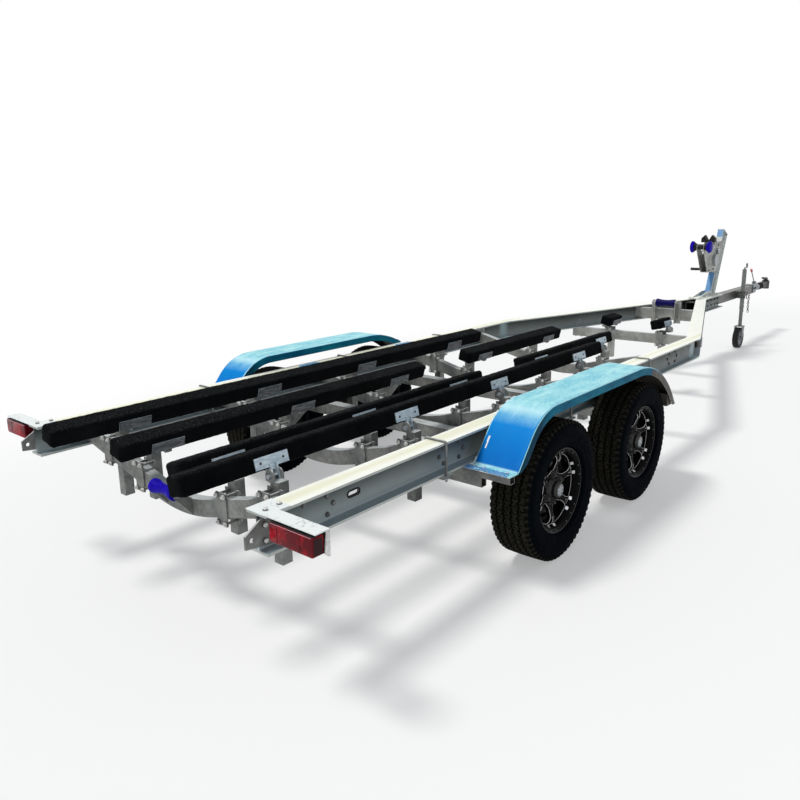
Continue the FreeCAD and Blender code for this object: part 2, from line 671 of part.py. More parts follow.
def guard():
    """Left mudguard over both wheels: a bent sheet with a skirt along each edge."""
    radii = (GUARD_FOOT_RADIUS, GUARD_BEND_RADIUS, GUARD_FRONT_RADIUS)
    shell = side_profile(ribbon(guard_points(), radii, -GUARD_THICK, 0),
                         (GUARD_INNER_Y, GUARD_OUTER_Y))
    skirt = ribbon(guard_points()[1:], radii[1:], -GUARD_SKIRT, -GUARD_THICK / 2)
    y_span = (0, 2 * GUARD_OUTER_Y)
    above_rail = box((GUARD_FOOT_X, GUARD_TOE_X), y_span, (RAIL_BOTTOM, 2 * GUARD_TOP))
    ahead = box((GUARD_FLAT_X[1], GUARD_TOE_X), y_span, (GUARD_TOE_Z, RAIL_BOTTOM))
    inner = side_profile(skirt, (GUARD_INNER_Y, GUARD_INNER_Y + GUARD_THICK)).common(above_rail)
    outer = side_profile(skirt, (GUARD_OUTER_Y - GUARD_THICK, GUARD_OUTER_Y))
    return fuse([shell, inner, outer.common(fuse([above_rail, ahead]))])


def guard_outrigger(x_span, outer_low):
    """Box tube from under the rail out below a mudguard, with a lighter tube at its outer end."""
    inner = box(x_span, (RAIL_Y - FLANGE_WIDTH / 2, OUTRIGGER_STEP_Y),
                (RAIL_BOTTOM - OUTRIGGER_DEPTH, RAIL_BOTTOM))
    outer = box(x_span, (OUTRIGGER_STEP_Y - 1, OUTRIGGER_END_Y), (outer_low, RAIL_BOTTOM))
    return fuse([inner, outer])


def front_outrigger():
    """Outrigger with a wedge that fills out to the mudguard's sloping toe."""
    arm = guard_outrigger(OUTRIGGER_FRONT_X, GUARD_TOE_Z)
    wedge = box((OUTRIGGER_FRONT_X[0], GUARD_TOE_X), (OUTRIGGER_STEP_Y - 1, OUTRIGGER_END_Y),
                (GUARD_TOE_Z, RAIL_BOTTOM))
    over = ribbon(((0, GUARD_TOP),) + guard_points()[-2:], (GUARD_FRONT_RADIUS,),
                  -GUARD_THICK - SEAT_GAP, GUARD_SKIRT + OUTRIGGER_DEPTH)
    return fuse([arm, wedge]).cut(side_profile(over, (GUARD_INNER_Y - 1, GUARD_OUTER_Y + 1)))


def rail_saddle(x):
    """U-bolt over a rail with its bottom plate."""
    out = FLANGE_WIDTH / 2 + SADDLE_ROD_RADIUS + SEAT_GAP
    low = RAIL_BOTTOM - SADDLE_PLATE_THICK
    legs = [rod(Vector(x, RAIL_Y + side * out, low - 16),
                Vector(x, RAIL_Y + side * out, RAIL_TOP + SADDLE_ROD_RADIUS), SADDLE_ROD_RADIUS)
            for side in (-1, 1)]
    bridge = box(around(x, 2.6 * SADDLE_ROD_RADIUS), around(RAIL_Y, 2 * (out + SADDLE_ROD_RADIUS)),
                 (RAIL_TOP, RAIL_TOP + 2 * SADDLE_ROD_RADIUS))
    plate = box(around(x, SADDLE_PLATE_LENGTH), around(RAIL_Y, 2 * (out + SADDLE_ROD_RADIUS) + 10),
                (low, RAIL_BOTTOM))
    return fuse(legs + [bridge, plate])


def guard_mountings():
    """Outriggers and saddles on the left rail."""
    near = GUARD_FOOT_X - GUARD_FLANGE / 6
    rear = guard_outrigger((near - OUTRIGGER_WIDTH, near), RAIL_BOTTOM - OUTRIGGER_WIDTH)
    return [rear, front_outrigger()] + [rail_saddle(x) for x in SADDLE_STATIONS]


def bunk(x_span, y, z, tilt):
    """Carpeted bearer with rounded edges and bevelled ends, tilted towards the keel."""
    half_w, half_h = BUNK_WIDTH / 2, BUNK_HEIGHT / 2
    face = outline(((-half_w, -half_h), (half_w, -half_h), (half_w, half_h), (-half_w, half_h)),
                   BUNK_CORNER_RADIUS)
    body = across_trailer(face, x_span)
    for end, inward in ((x_span[0], 1), (x_span[1], -1)):
        wedge = outline(((end - inward, half_h - BUNK_BEVEL), (end - inward, half_h + 1),
                         (end + inward * BUNK_BEVEL, half_h + 1)))
        body = body.cut(side_profile(wedge, (-BUNK_WIDTH, BUNK_WIDTH)))
        for side in (-1, 1):
            edge = side * (half_w + 1)
            corner = outline(((end - inward, side * (half_w - BUNK_BEVEL)), (end - inward, edge),
                              (end + inward * BUNK_BEVEL, edge)))
            corner.translate(Vector(0, 0, -BUNK_HEIGHT))
            body = body.cut(corner.extrude(Vector(0, 0, 2 * BUNK_HEIGHT)))
    body.rotate(ORIGIN, X_AXIS, tilt)
    body.translate(Vector(0, y, z))
    return body


def bunk_point(y, z, tilt, across, up):
    """Place on a tilted bunk's section, from its middle."""
    angle = math.radians(tilt)
    return (y + across * math.cos(angle) - up * math.sin(angle),
            z + across * math.sin(angle) + up * math.cos(angle))


def bunk_cradle(middle_x):
    """Plates on both sides of an upright bunk, joined by a strap under it."""
    half_w, half_h = BUNK_WIDTH / 2, BUNK_HEIGHT / 2
    low = -half_h - BUNK_PLATE_THICK
    plate_z = (BUNK_PLATE_RISE - half_h, BUNK_PLATE_RISE - half_h + BUNK_PLATE_HEIGHT)
    strap_x = around(middle_x, CRADLE_STRAP_WIDTH)
    strap = box(strap_x, around(0, 2 * (half_w + BUNK_PLATE_THICK)), (low, -half_h - SEAT_GAP))
    pieces = [strap]
    for span in ((half_w + SEAT_GAP, half_w + BUNK_PLATE_THICK),
                 (-half_w - BUNK_PLATE_THICK, -half_w - SEAT_GAP)):
        pieces.append(box(around(middle_x, BUNK_PLATE_LENGTH), span, plate_z))
        pieces.append(box(strap_x, span, (low, plate_z[1])))
    return fuse(pieces)


def bunk_support(station, post_y, post_bottom, bunk_y, bunk_z, cross_face, cross_top, cross_bottom):
    """Post, clamp and swivel bracket at one crossmember, for the left side.

    The post stands against the crossmember's front face. A clamp plate on the rear face and
    four long bolts above and below the tube hold it. The swivel is a cradle with a plate on
    each side of the bunk and a strap beneath.
    """
    post_x = around(cross_face + POST_SIZE / 2, POST_SIZE)
    middle_x = cross_face + POST_SIZE / 2
    tilt = BUNK_TILT
    plate_low = bunk_point(bunk_y, bunk_z, tilt, BUNK_WIDTH / 2, -BUNK_HEIGHT / 2 + 6)
    pivot_y, pivot_z = plate_low[0] + 10, plate_low[1] - EAR_RADIUS - 6
    post_top = pivot_z - EAR_RADIUS + 4
    tube = box(post_x, around(post_y, POST_SIZE), (post_bottom, post_top))
    inside = POST_SIZE - 2 * POST_WALL
    bore = box(around(middle_x, inside), around(post_y, inside), (post_bottom, post_top))
    post = [tube.cut(bore)]
    cap_span = (min(post_y - POST_SIZE / 2, pivot_y - EAR_RADIUS),
                max(post_y + POST_SIZE / 2, pivot_y + EAR_RADIUS))
    post.append(box(post_x, cap_span, (post_top, post_top + EAR_THICK)))
    for x in (post_x[0], post_x[1] - EAR_THICK):
        ear_rod = rod(Vector(x, pivot_y, pivot_z), Vector(x + EAR_THICK, pivot_y, pivot_z), EAR_RADIUS)
        ear_foot = box((x, x + EAR_THICK), around(pivot_y, 2 * EAR_RADIUS), (post_top, pivot_z))
        post += [ear_rod, ear_foot]
    clamp_back = cross_face - CROSS_WIDTH - CLAMP_THICK
    clamp = box((clamp_back, cross_face - CROSS_WIDTH), around(post_y, CLAMP_WIDTH),
                (cross_bottom - CLAMP_OVERLAP, cross_top + CLAMP_OVERLAP))
    front_lug = box((cross_face, cross_face + CLAMP_THICK), around(post_y, CLAMP_WIDTH + 24),
                    (cross_bottom - CLAMP_OVERLAP, cross_top + CLAMP_OVERLAP))
    post.append(front_lug)
    post.append(clamp)
    for z in (cross_bottom - CLAMP_OVERLAP / 2, cross_top + CLAMP_OVERLAP / 2):
        for shift in (-CLAMP_WIDTH / 2 + 9, CLAMP_WIDTH / 2 - 9):
            start = Vector(clamp_back - BOLT_HEAD_THICK, post_y + shift, z)
            end = Vector(cross_face + CLAMP_THICK, post_y + shift, z)
            post.append(rod(start, end, CLAMP_ROD_RADIUS))
    cradle = bunk_cradle(middle_x)
    cradle.rotate(ORIGIN, X_AXIS, tilt)
    cradle.translate(Vector(0, bunk_y, bunk_z))
    swivel = [cradle]
    inner = (post_x[0] + EAR_THICK + SEAT_GAP, post_x[1] - EAR_THICK - SEAT_GAP)
    tab_face = outline(((plate_low[0], pivot_z - 14), (pivot_y + 14, pivot_z - 14),
                        (plate_low[0] + 9, plate_low[1] + 16), (plate_low[0], plate_low[1] + 16)))
    swivel.append(across_trailer(tab_face, (inner[0], inner[0] + TAB_THICK)))
    swivel.append(across_trailer(tab_face, (inner[1] - TAB_THICK, inner[1])))
    pin_ends = [Vector(x, pivot_y, pivot_z) for x in (post_x[0] - 8, post_x[1] + 8)]
    swivel.append(rod(pin_ends[0], pin_ends[1], PIVOT_RADIUS))
    pin_bore = rod(pin_ends[0], pin_ends[1], PIVOT_RADIUS + SEAT_GAP)
    return fuse(post).cut(pin_bore), fuse(swivel)


def cross_height_at(y):
    """Top and bottom of a bent crossmember's tube beside a post."""
    slope = math.radians(CROSS_SLOPE)
    middle = cross_centreline_z(y)
    flat = CROSS_BEND_RADIUS * math.sin(slope)
    if abs(y) < flat:
        lowest = cross_centreline_z(0) + CROSS_BEND_RADIUS * (1 / math.cos(slope) - 1)
        middle = lowest + CROSS_BEND_RADIUS - math.sqrt(CROSS_BEND_RADIUS ** 2 - y ** 2)
    spread = CLAMP_WIDTH / 2 * math.tan(slope)
    half = CROSS_DEPTH / 2 / math.cos(slope) + spread
    return middle + half, middle - half


def bunk_supports():
    """All posts and swivels on the left, as two lists."""
    posts, swivels = [], []
    for station in CROSS_STATIONS[:4]:
        face = station + CROSS_WIDTH / 2
        top, bottom = cross_height_at(OUTER_POST_Y)
        pair = bunk_support(station, OUTER_POST_Y, OUTER_POST_BOTTOM, OUTER_BUNK_Y, OUTER_BUNK_Z,
                            face, top, bottom)
        posts.append(pair[0])
        swivels.append(pair[1])
    for station in CROSS_STATIONS:
        face = station + CROSS_WIDTH / 2
        top, bottom = cross_height_at(INNER_POST_Y)
        pair = bunk_support(station, INNER_POST_Y, INNER_POST_BOTTOM, INNER_BUNK_Y, INNER_BUNK_Z,
                            face, top, bottom)
        posts.append(pair[0])
        swivels.append(pair[1])
    face = FRONT_CROSS_X + FRONT_CROSS_WIDTH / 2
    pair = bunk_support(FRONT_CROSS_X, FRONT_POST_Y, FRONT_POST_BOTTOM, PAD_Y, PAD_Z, face,
                        RAIL_BOTTOM, RAIL_BOTTOM - FRONT_CROSS_DEPTH)
    posts.append(pair[0])
    swivels.append(pair[1])
    return posts, swivels


def lamp_plate():
    """Plate on the rail's rear end, running out over the lamp and down its end."""
    rear = LAMP_REAR_X + 8
    deep = rear + 62
    outer = LAMP_INNER_Y + LAMP_LENGTH + 14
    top = box((rear, deep), (RAIL_Y - FLANGE_WIDTH / 2, outer), (RAIL_TOP, RAIL_TOP + LAMP_PLATE_THICK))
    pad = box((rear, rear + 110), (RAIL_Y - FLANGE_WIDTH / 2, RAIL_Y + FLANGE_WIDTH / 2),
              (RAIL_TOP, RAIL_TOP + LAMP_PLATE_THICK))
    end = box((rear, deep), (outer - LAMP_PLATE_THICK, outer),
              (RAIL_TOP + LAMP_PLATE_THICK - LAMP_PLATE_DROP, RAIL_TOP))
    back = box((rear + LAMP_DEPTH, rear + LAMP_DEPTH + LAMP_PLATE_THICK), (LAMP_INNER_Y, outer),
               (RAIL_TOP - LAMP_HEIGHT, RAIL_TOP))
    return fuse([top, pad, end, back])


def tail_lamp():
    """Left lamp body: a block with rounded rear corners."""
    x_span = (LAMP_REAR_X, LAMP_REAR_X + 8 + LAMP_DEPTH - SEAT_GAP)
    face = outline(((x_span[0], LAMP_INNER_Y), (x_span[0], LAMP_INNER_Y + LAMP_LENGTH),
                    (x_span[1], LAMP_INNER_Y + LAMP_LENGTH), (x_span[1], LAMP_INNER_Y)), 6)
    body = face.extrude(Vector(0, 0, LAMP_HEIGHT))
    body.translate(Vector(0, 0, LAMP_TOP - LAMP_HEIGHT))
    return body


def strap_eye():
    """Triangular plate on the web's rear end with a hole for a hull strap."""
    rear = EYE_REAR_X
    root = rear + EYE_LENGTH
    face = outline(((rear, EYE_NOSE_Z[1]), (rear, EYE_NOSE_Z[0]), (root, EYE_ROOT_Z[0]),
                    (root, EYE_ROOT_Z[1]), (rear + EYE_SHOULDER_SETBACK, EYE_ROOT_Z[1])))
    y = RAIL_Y + WEB_THICK / 2
    plate = side_profile(face, (y, y + EYE_PLATE_THICK))
    hole_x, hole_z = rear + EYE_HOLE_SETBACK, EYE_HOLE_Z
    return plate.cut(rod(Vector(hole_x, y - 1, hole_z), Vector(hole_x, y + EYE_PLATE_THICK + 1, hole_z),
                         EYE_HOLE_RADIUS))


def side_marker():
    """Small lamp on the outside of the rail's bend."""
    y = RAIL_Y + FLANGE_WIDTH / 2
    x = BEND_X - MARKER_SETBACK
    top = RAIL_TOP - MARKER_DROP
    return box(around(x, MARKER_LENGTH), (y, y + MARKER_DEPTH), (top - MARKER_HEIGHT, top))


def spool(centre, length, radius, waist, bore):
    """Roller with flared ends and a slim waist."""
    half = length / 2
    profile = [Vector(bore, -half, 0), Vector(radius, -half, 0), Vector(radius, -half + 14, 0)]
    far = [Vector(p.x, -p.y, 0) for p in profile]
    edges = [Part.makeLine(profile[0], profile[1]), Part.makeLine(profile[1], profile[2]),
             Part.Arc(profile[2], Vector(waist, 0, 0), far[2]).toShape(),
             Part.makeLine(far[2], far[1]), Part.makeLine(far[1], far[0]),
             Part.makeLine(far[0], profile[0])]
    return turned(edges, centre)


def rear_roller_bracket():
    """Two ears on the rear crossmember's back face and the roller's pin."""
    back = CROSS_STATIONS[0] - CROSS_WIDTH / 2
    top, bottom = cross_height_at(0)
    ear_y = REAR_ROLLER_LENGTH / 2 + RUNNING_GAP
    face = outline(((back, bottom + 20), (back, top), (REAR_ROLLER_X - 16, REAR_ROLLER_Z + 14),
                    (REAR_ROLLER_X - 16, REAR_ROLLER_Z - 16)))
    left = side_profile(face, (ear_y, ear_y + 6))
    base = box((back - 6, back), (-ear_y - 6, ear_y + 6), (bottom + 20, top - 6))
    pin = rod(Vector(REAR_ROLLER_X, -ear_y - 14, REAR_ROLLER_Z),
              Vector(REAR_ROLLER_X, ear_y + 14, REAR_ROLLER_Z), KEEL_PIN_RADIUS)
    return fuse([left, other_side(left), base, pin])


def front_roller_bracket():
    """Two drilled angles with rounded tops on the channel's rear face, and the roller's pin."""
    rear = ROLLER_CROSS_X - ROLLER_CROSS_WIDTH / 2
    thick, leg = ROLLER_ANGLE_THICK, ROLLER_ANGLE_LEG
    ear_y = FRONT_ROLLER_LENGTH / 2 + RUNNING_GAP
    low = RAIL_BOTTOM - 10
    back_leg = box((rear - thick, rear), (ear_y, ear_y + leg), (low, FRONT_ROLLER_Z))
    back_cap = rod(Vector(rear - thick, ear_y + leg / 2, FRONT_ROLLER_Z),
                   Vector(rear, ear_y + leg / 2, FRONT_ROLLER_Z), leg / 2)
    side_leg = box((rear - leg, rear), (ear_y, ear_y + thick), (low, FRONT_ROLLER_Z))
    side_cap = rod(Vector(rear - leg / 2, ear_y, FRONT_ROLLER_Z),
                   Vector(rear - leg / 2, ear_y + thick, FRONT_ROLLER_Z), leg / 2)
    holes = [rod(Vector(rear - thick - 1, ear_y + leg / 2, RAIL_AXIS_Z + row * ROLLER_ANGLE_HOLE_PITCH),
                 Vector(rear + 1, ear_y + leg / 2, RAIL_AXIS_Z + row * ROLLER_ANGLE_HOLE_PITCH),
                 ROLLER_ANGLE_HOLE_RADIUS) for row in (-1, 0, 1)]
    left = fuse([back_leg, back_cap, side_leg, side_cap]).cut(holes)
    pin = rod(Vector(FRONT_ROLLER_X, -ear_y - 14, FRONT_ROLLER_Z),
              Vector(FRONT_ROLLER_X, ear_y + 14, FRONT_ROLLER_Z), KEEL_PIN_RADIUS)
    return fuse([left, other_side(left), pin])


def lean(shape):
    """Tip a piece drawn upright forward with the winch post, about the post's rear foot."""
    pivot = Vector(WINCH_POST_X, 0, RAIL_TOP + FOOT_PLATE_THICK)
    shape.rotate(pivot, Y_AXIS, WINCH_POST_LEAN)
    return shape


def post_rear_x(z):
    """Rear face of the leaning post at a height."""
    return WINCH_POST_X + (z - RAIL_TOP - FOOT_PLATE_THICK) * math.tan(math.radians(WINCH_POST_LEAN))


def winch_post():
    """Leaning I-beam with a cap, on a foot plate with gussets across both rails."""
    base = RAIL_TOP + FOOT_PLATE_THICK
    length = (WINCH_POST_TOP - base) / math.cos(math.radians(WINCH_POST_LEAN))
    x0, depth, half = WINCH_POST_X, WINCH_POST_DEPTH, WINCH_POST_WIDTH / 2
    wall = WINCH_POST_WALL
    z_span = (base - depth, base + length)
    parts = [box((x0, x0 + wall), (-half, half), z_span),
             box((x0 + depth - wall, x0 + depth), (-half, half), z_span),
             box((x0 + wall / 2, x0 + depth - wall / 2), around(0, wall), z_span),
             box((x0 - 4, x0 + depth + 4), (-half - 4, half + 4), (z_span[1], z_span[1] + WINCH_POST_CAP))]
    post = lean(fuse(parts))
    post = post.common(box((x0 - depth, x0 + 10 * depth), (-RAIL_Y, RAIL_Y), (base, 2 * WINCH_POST_TOP)))
    plate = box(FOOT_PLATE_X, around(0, FOOT_PLATE_WIDTH), (RAIL_TOP, base))
    gusset = outline(((FOOT_PLATE_X[0] + 20, base), (x0 + 60, base), (x0 + 24, base + GUSSET_HEIGHT),
                      (x0 - 90, base + GUSSET_HEIGHT)))
    left = side_profile(gusset, (half, half + wall))
    return fuse([post, plate, left, other_side(left)])


def winch_side_plate():
    """Left plate of the winch bracket: an arm to the bow roller and a table for the bow stop."""
    low, high = SIDE_PLATE_LOW, SIDE_PLATE_HIGH
    face = outline(((SIDE_PLATE_REAR, low), (post_rear_x(low) + 40, low),
                    (post_rear_x(high) + 70, high - 20), (post_rear_x(high) + 40, high),
                    (BOW_STOP_X[0], high), (BOW_STOP_X[0], high - 110), (SIDE_PLATE_REAR + 10, high - 130),
                    (BOW_ROLLER_X + 34, BOW_ROLLER_Z + 24), (BOW_ROLLER_X - 28, BOW_ROLLER_Z + 24),
                    (BOW_ROLLER_X - 34, BOW_ROLLER_Z - 30)), 8)
    half = WINCH_POST_WIDTH / 2
    plate = side_profile(face, (half, half + SIDE_PLATE_THICK))
    holes = ((BOW_ROLLER_X, BOW_ROLLER_Z, BOW_PIN_RADIUS), (DRUM_X, DRUM_Z, DRUM_SHAFT_RADIUS),
             (CRANK_X, CRANK_Z, CRANK_SHAFT_RADIUS))
    cutters = [rod(Vector(x, 0, z), Vector(x, 2 * RAIL_Y, z), radius + SEAT_GAP)
               for x, z, radius in holes]
    return plate.cut(cutters)


def winch_bracket():
    """Both side plates, tied together by a plate at the bottom and another under the bow stop."""
    half = WINCH_POST_WIDTH / 2
    left = winch_side_plate()
    low_tie = box((SIDE_PLATE_REAR + 14, post_rear_x(SIDE_PLATE_LOW) - 2), (-half, half),
                  (SIDE_PLATE_LOW, SIDE_PLATE_LOW + SIDE_PLATE_THICK))
    top_tie = box((BOW_STOP_X[0] + 8, BOW_STOP_X[1]), (-half, half),
                  (SIDE_PLATE_HIGH - SIDE_PLATE_THICK, SIDE_PLATE_HIGH))
    return fuse([left, other_side(left), low_tie, top_tie])


def winch_frame():
    """Winch cheeks inside the side plates, and the gear cover outside the right one."""
    half = WINCH_POST_WIDTH / 2
    cheek_inner = DRUM_LENGTH / 2 + RUNNING_GAP
    base = SIDE_PLATE_LOW + SIDE_PLATE_THICK
    face = outline(((DRUM_X - 62, base), (DRUM_X + 62, base), (CRANK_X + 28, CRANK_Z + 30),
                    (CRANK_X - 40, CRANK_Z + 30)), 6)
    cheek = side_profile(face, (cheek_inner, half))
    shafts = ((DRUM_X, DRUM_Z, DRUM_SHAFT_RADIUS), (CRANK_X, CRANK_Z, CRANK_SHAFT_RADIUS))
    cutters = [rod(Vector(x, -RAIL_Y, z), Vector(x, RAIL_Y, z), radius + SEAT_GAP)
               for x, z, radius in shafts]
    outer = -half - SIDE_PLATE_THICK
    cover = [rod(Vector(DRUM_X, outer - GEAR_COVER_DEPTH, DRUM_Z), Vector(DRUM_X, outer, DRUM_Z),
                 GEAR_COVER_RADIUS),
             rod(Vector(CRANK_X, outer - GEAR_COVER_DEPTH, CRANK_Z), Vector(CRANK_X, outer, CRANK_Z),
                 GEAR_COVER_RADIUS / 2)]
    pocket = rod(Vector(DRUM_X, outer - 14, DRUM_Z), Vector(DRUM_X, outer, DRUM_Z), DRUM_SHAFT_RADIUS + 4)
    second = rod(Vector(CRANK_X, outer - 14, CRANK_Z), Vector(CRANK_X, outer, CRANK_Z),
                 CRANK_SHAFT_RADIUS + 4)
    return Part.makeCompound([cheek.cut(cutters), other_side(cheek).cut(cutters),
                              fuse(cover).cut([pocket, second])])


def winch_drum():
    """Drum with two flanges on its shaft."""
    half = DRUM_LENGTH / 2
    reach = WINCH_POST_WIDTH / 2 + SIDE_PLATE_THICK + 8
    profile = [(-reach, 0), (-reach, DRUM_SHAFT_RADIUS), (-half, DRUM_SHAFT_RADIUS),
               (-half, DRUM_FLANGE_RADIUS), (-half + 4, DRUM_FLANGE_RADIUS), (-half + 4, DRUM_RADIUS),
               (half - 4, DRUM_RADIUS), (half - 4, DRUM_FLANGE_RADIUS), (half, DRUM_FLANGE_RADIUS),
               (half, DRUM_SHAFT_RADIUS), (reach, DRUM_SHAFT_RADIUS), (reach, 0)]
    return turned_polygon(profile, Vector(DRUM_X, 0, DRUM_Z))


def winch_crank():
    """Crank: shaft, flat arm hanging down and a barrel grip on its end."""
    reach = WINCH_POST_WIDTH / 2 + SIDE_PLATE_THICK + 8
    shaft = rod(Vector(CRANK_X, -reach, CRANK_Z), Vector(CRANK_X, CRANK_ARM_Y + CRANK_ARM_THICK, CRANK_Z),
                CRANK_SHAFT_RADIUS)
    half = CRANK_ARM_WIDTH / 2
    span = (CRANK_ARM_Y, CRANK_ARM_Y + CRANK_ARM_THICK)
    arm = box(around(CRANK_X, CRANK_ARM_WIDTH), span, (CRANK_Z - CRANK_ARM, CRANK_Z))
    ends = [rod(Vector(CRANK_X, span[0], z), Vector(CRANK_X, span[1], z), half)
            for z in (CRANK_Z, CRANK_Z - CRANK_ARM)]
    start = CRANK_ARM_Y + CRANK_ARM_THICK
    radius = CRANK_GRIP_RADIUS
    profile = [(0, 0), (0, radius - 3), (8, radius), (CRANK_GRIP_LENGTH - 8, radius),
               (CRANK_GRIP_LENGTH, radius - 4), (CRANK_GRIP_LENGTH, 0)]
    grip = turned_polygon(profile, Vector(CRANK_X, start, CRANK_Z - CRANK_ARM))
    return fuse([shaft, arm, grip] + ends)


def bow_roller():
    """Waisted bow roller: a middle spool between the side plates and a bell outside each."""
    inner = WINCH_POST_WIDTH / 2 - RUNNING_GAP
    outer = WINCH_POST_WIDTH / 2 + SIDE_PLATE_THICK + RUNNING_GAP
    half = BOW_ROLLER_LENGTH / 2
    profile = [(-half, 0), (-half, BOW_ROLLER_RADIUS - 8), (-half + 8, BOW_ROLLER_RADIUS),
               (-half + 26, BOW_ROLLER_RADIUS - 4), (-outer - 6, BOW_ROLLER_WAIST + 3),
               (-outer, BOW_ROLLER_WAIST), (-outer, BOW_PIN_RADIUS), (-inner, BOW_PIN_RADIUS),
               (-inner, BOW_ROLLER_WAIST)]
    mirrored = [(-along, radius) for along, radius in reversed(profile)]
    return turned_polygon(profile + mirrored, Vector(BOW_ROLLER_X, 0, BOW_ROLLER_Z))


def bow_stop():
    """Rubber stop with a V between two pointed cheeks."""
    low, high = SIDE_PLATE_HIGH, SIDE_PLATE_HIGH + BOW_STOP_HEIGHT
    half, peak = BOW_STOP_WIDTH / 2, BOW_STOP_PEAK_Y
    shoulder = low + BOW_STOP_HEIGHT * 0.55
    face = outline(((-half, low), (half, low), (half, shoulder), (peak, high), (8, shoulder - 18),
                    (-8, shoulder - 18), (-peak, high), (-half, shoulder)))
    return across_trailer(face, BOW_STOP_X)


def jockey_clamp():
    """Plate on the drawbar's right side with a split collar round the jockey tube."""
    side = -DRAWBAR_SIZE / 2
    z_span = around(RAIL_AXIS_Z, CLAMP_BODY_HEIGHT)
    plate = box(around(JOCKEY_X, 116), (side - 8, side), around(RAIL_AXIS_Z, CLAMP_BODY_HEIGHT + 8))
    collar_radius = JOCKEY_TUBE_RADIUS + 10
    collar = rod(Vector(JOCKEY_X, JOCKEY_Y, z_span[0]), Vector(JOCKEY_X, JOCKEY_Y, z_span[1]),
                 collar_radius)
    bridge = box(around(JOCKEY_X, 50), (JOCKEY_Y, side - 4), z_span)
    lug = box((JOCKEY_X - collar_radius - 22, JOCKEY_X), around(JOCKEY_Y, 26), around(RAIL_AXIS_Z, 40))
    screw_x = JOCKEY_X - collar_radius - 12
    screw = rod(Vector(screw_x, JOCKEY_Y - 60, RAIL_AXIS_Z), Vector(screw_x, JOCKEY_Y + 22, RAIL_AXIS_Z), 6)
    bar = rod(Vector(screw_x, JOCKEY_Y - 60, RAIL_AXIS_Z - 45),
              Vector(screw_x, JOCKEY_Y - 60, RAIL_AXIS_Z + 45), 5)
    bore = rod(Vector(JOCKEY_X, JOCKEY_Y, 0), Vector(JOCKEY_X, JOCKEY_Y, RAIL_TOP * 2),
               JOCKEY_TUBE_RADIUS)
    return fuse([plate, collar, bridge, lug, screw, bar]).cut(bore)


def jockey_tube():
    """Outer tube with a cap and the raising handle on top."""
    low, high = JOCKEY_TUBE_Z
    spot = lambda z: Vector(JOCKEY_X, JOCKEY_Y, z)
    outer = rod(spot(low), spot(high), JOCKEY_TUBE_RADIUS)
    bore = rod(spot(low - 1), spot(high - 8), JOCKEY_LEG_RADIUS + JOCKEY_LEG_CLEARANCE)
    stem = rod(spot(high), spot(high + 22), 9)
    arm = rod(spot(high + 16), Vector(JOCKEY_X + 88, JOCKEY_Y, high + 16), 6)
    knob = rod(Vector(JOCKEY_X + 82, JOCKEY_Y, high + 16), Vector(JOCKEY_X + 82, JOCKEY_Y, high + 66), 11)
    return fuse([outer.cut(bore), stem, arm, knob])


def jockey_leg():
    """Inner leg that slides in the tube, bored below for the fork's stem."""
    spot = lambda z: Vector(JOCKEY_X, JOCKEY_Y, z)
    leg = rod(spot(FORK_TOP_Z + SEAT_GAP), spot(JOCKEY_LEG_TOP), JOCKEY_LEG_RADIUS)
    return leg.cut(rod(spot(0), spot(FORK_TOP_Z + 44), FORK_STEM_RADIUS + SEAT_GAP))


def jockey_fork():
    """Swivel fork: a crown plate, two cheeks raked back to the axle, and its stem."""
    half = JOCKEY_WHEEL_WIDTH / 2 + RUNNING_GAP
    axle_x = JOCKEY_X - JOCKEY_TRAIL
    crown = box((JOCKEY_X - 62, JOCKEY_X + 34), around(JOCKEY_Y, 2 * (half + FORK_THICK)),
                (FORK_TOP_Z - FORK_THICK, FORK_TOP_Z))
    z_axle = JOCKEY_WHEEL_RADIUS
    face = outline(((JOCKEY_X - 62, FORK_TOP_Z), (axle_x - 20, z_axle - 4), (axle_x - 12, z_axle - 20),
                    (axle_x + 12, z_axle - 20), (axle_x + 20, z_axle - 4), (JOCKEY_X + 34, FORK_TOP_Z)))
    cheeks = [side_profile(face, (JOCKEY_Y + near, JOCKEY_Y + near + FORK_THICK))
              for near in (half, -half - FORK_THICK)]
    pin = rod(Vector(axle_x, JOCKEY_Y - half - FORK_THICK - 6, z_axle),
              Vector(axle_x, JOCKEY_Y + half + FORK_THICK + 6, z_axle), JOCKEY_PIN_RADIUS)
    stem = rod(Vector(JOCKEY_X, JOCKEY_Y, FORK_TOP_Z - FORK_THICK),
               Vector(JOCKEY_X, JOCKEY_Y, FORK_TOP_Z + 40), FORK_STEM_RADIUS)
    return fuse([crown, pin, stem] + cheeks)


def jockey_wheel():
    """Small solid-tyred wheel: tyre and its moulded centre."""
    centre = Vector(JOCKEY_X - JOCKEY_TRAIL, JOCKEY_Y, JOCKEY_WHEEL_RADIUS)
    rim_radius, half = JOCKEY_RIM_RADIUS, JOCKEY_WHEEL_WIDTH / 2
    ring = tyre(centre, JOCKEY_WHEEL_RADIUS, JOCKEY_WHEEL_WIDTH, rim_radius, rim_radius + LIP_GAP,
                JOCKEY_WHEEL_WIDTH - 16)
    bore = JOCKEY_PIN_RADIUS + SEAT_GAP
    seat = rim_radius - SEAT_GAP
    profile = [(-half, bore), (-half, 22), (-10, 26), (-10, seat - 14), (-half + 8, seat - 8),
               (-half + 8, seat), (half - 8, seat), (half - 8, seat - 8), (10, seat - 14), (10, 26),
               (half, 22), (half, bore)]
    return ring, turned_polygon(profile, centre)


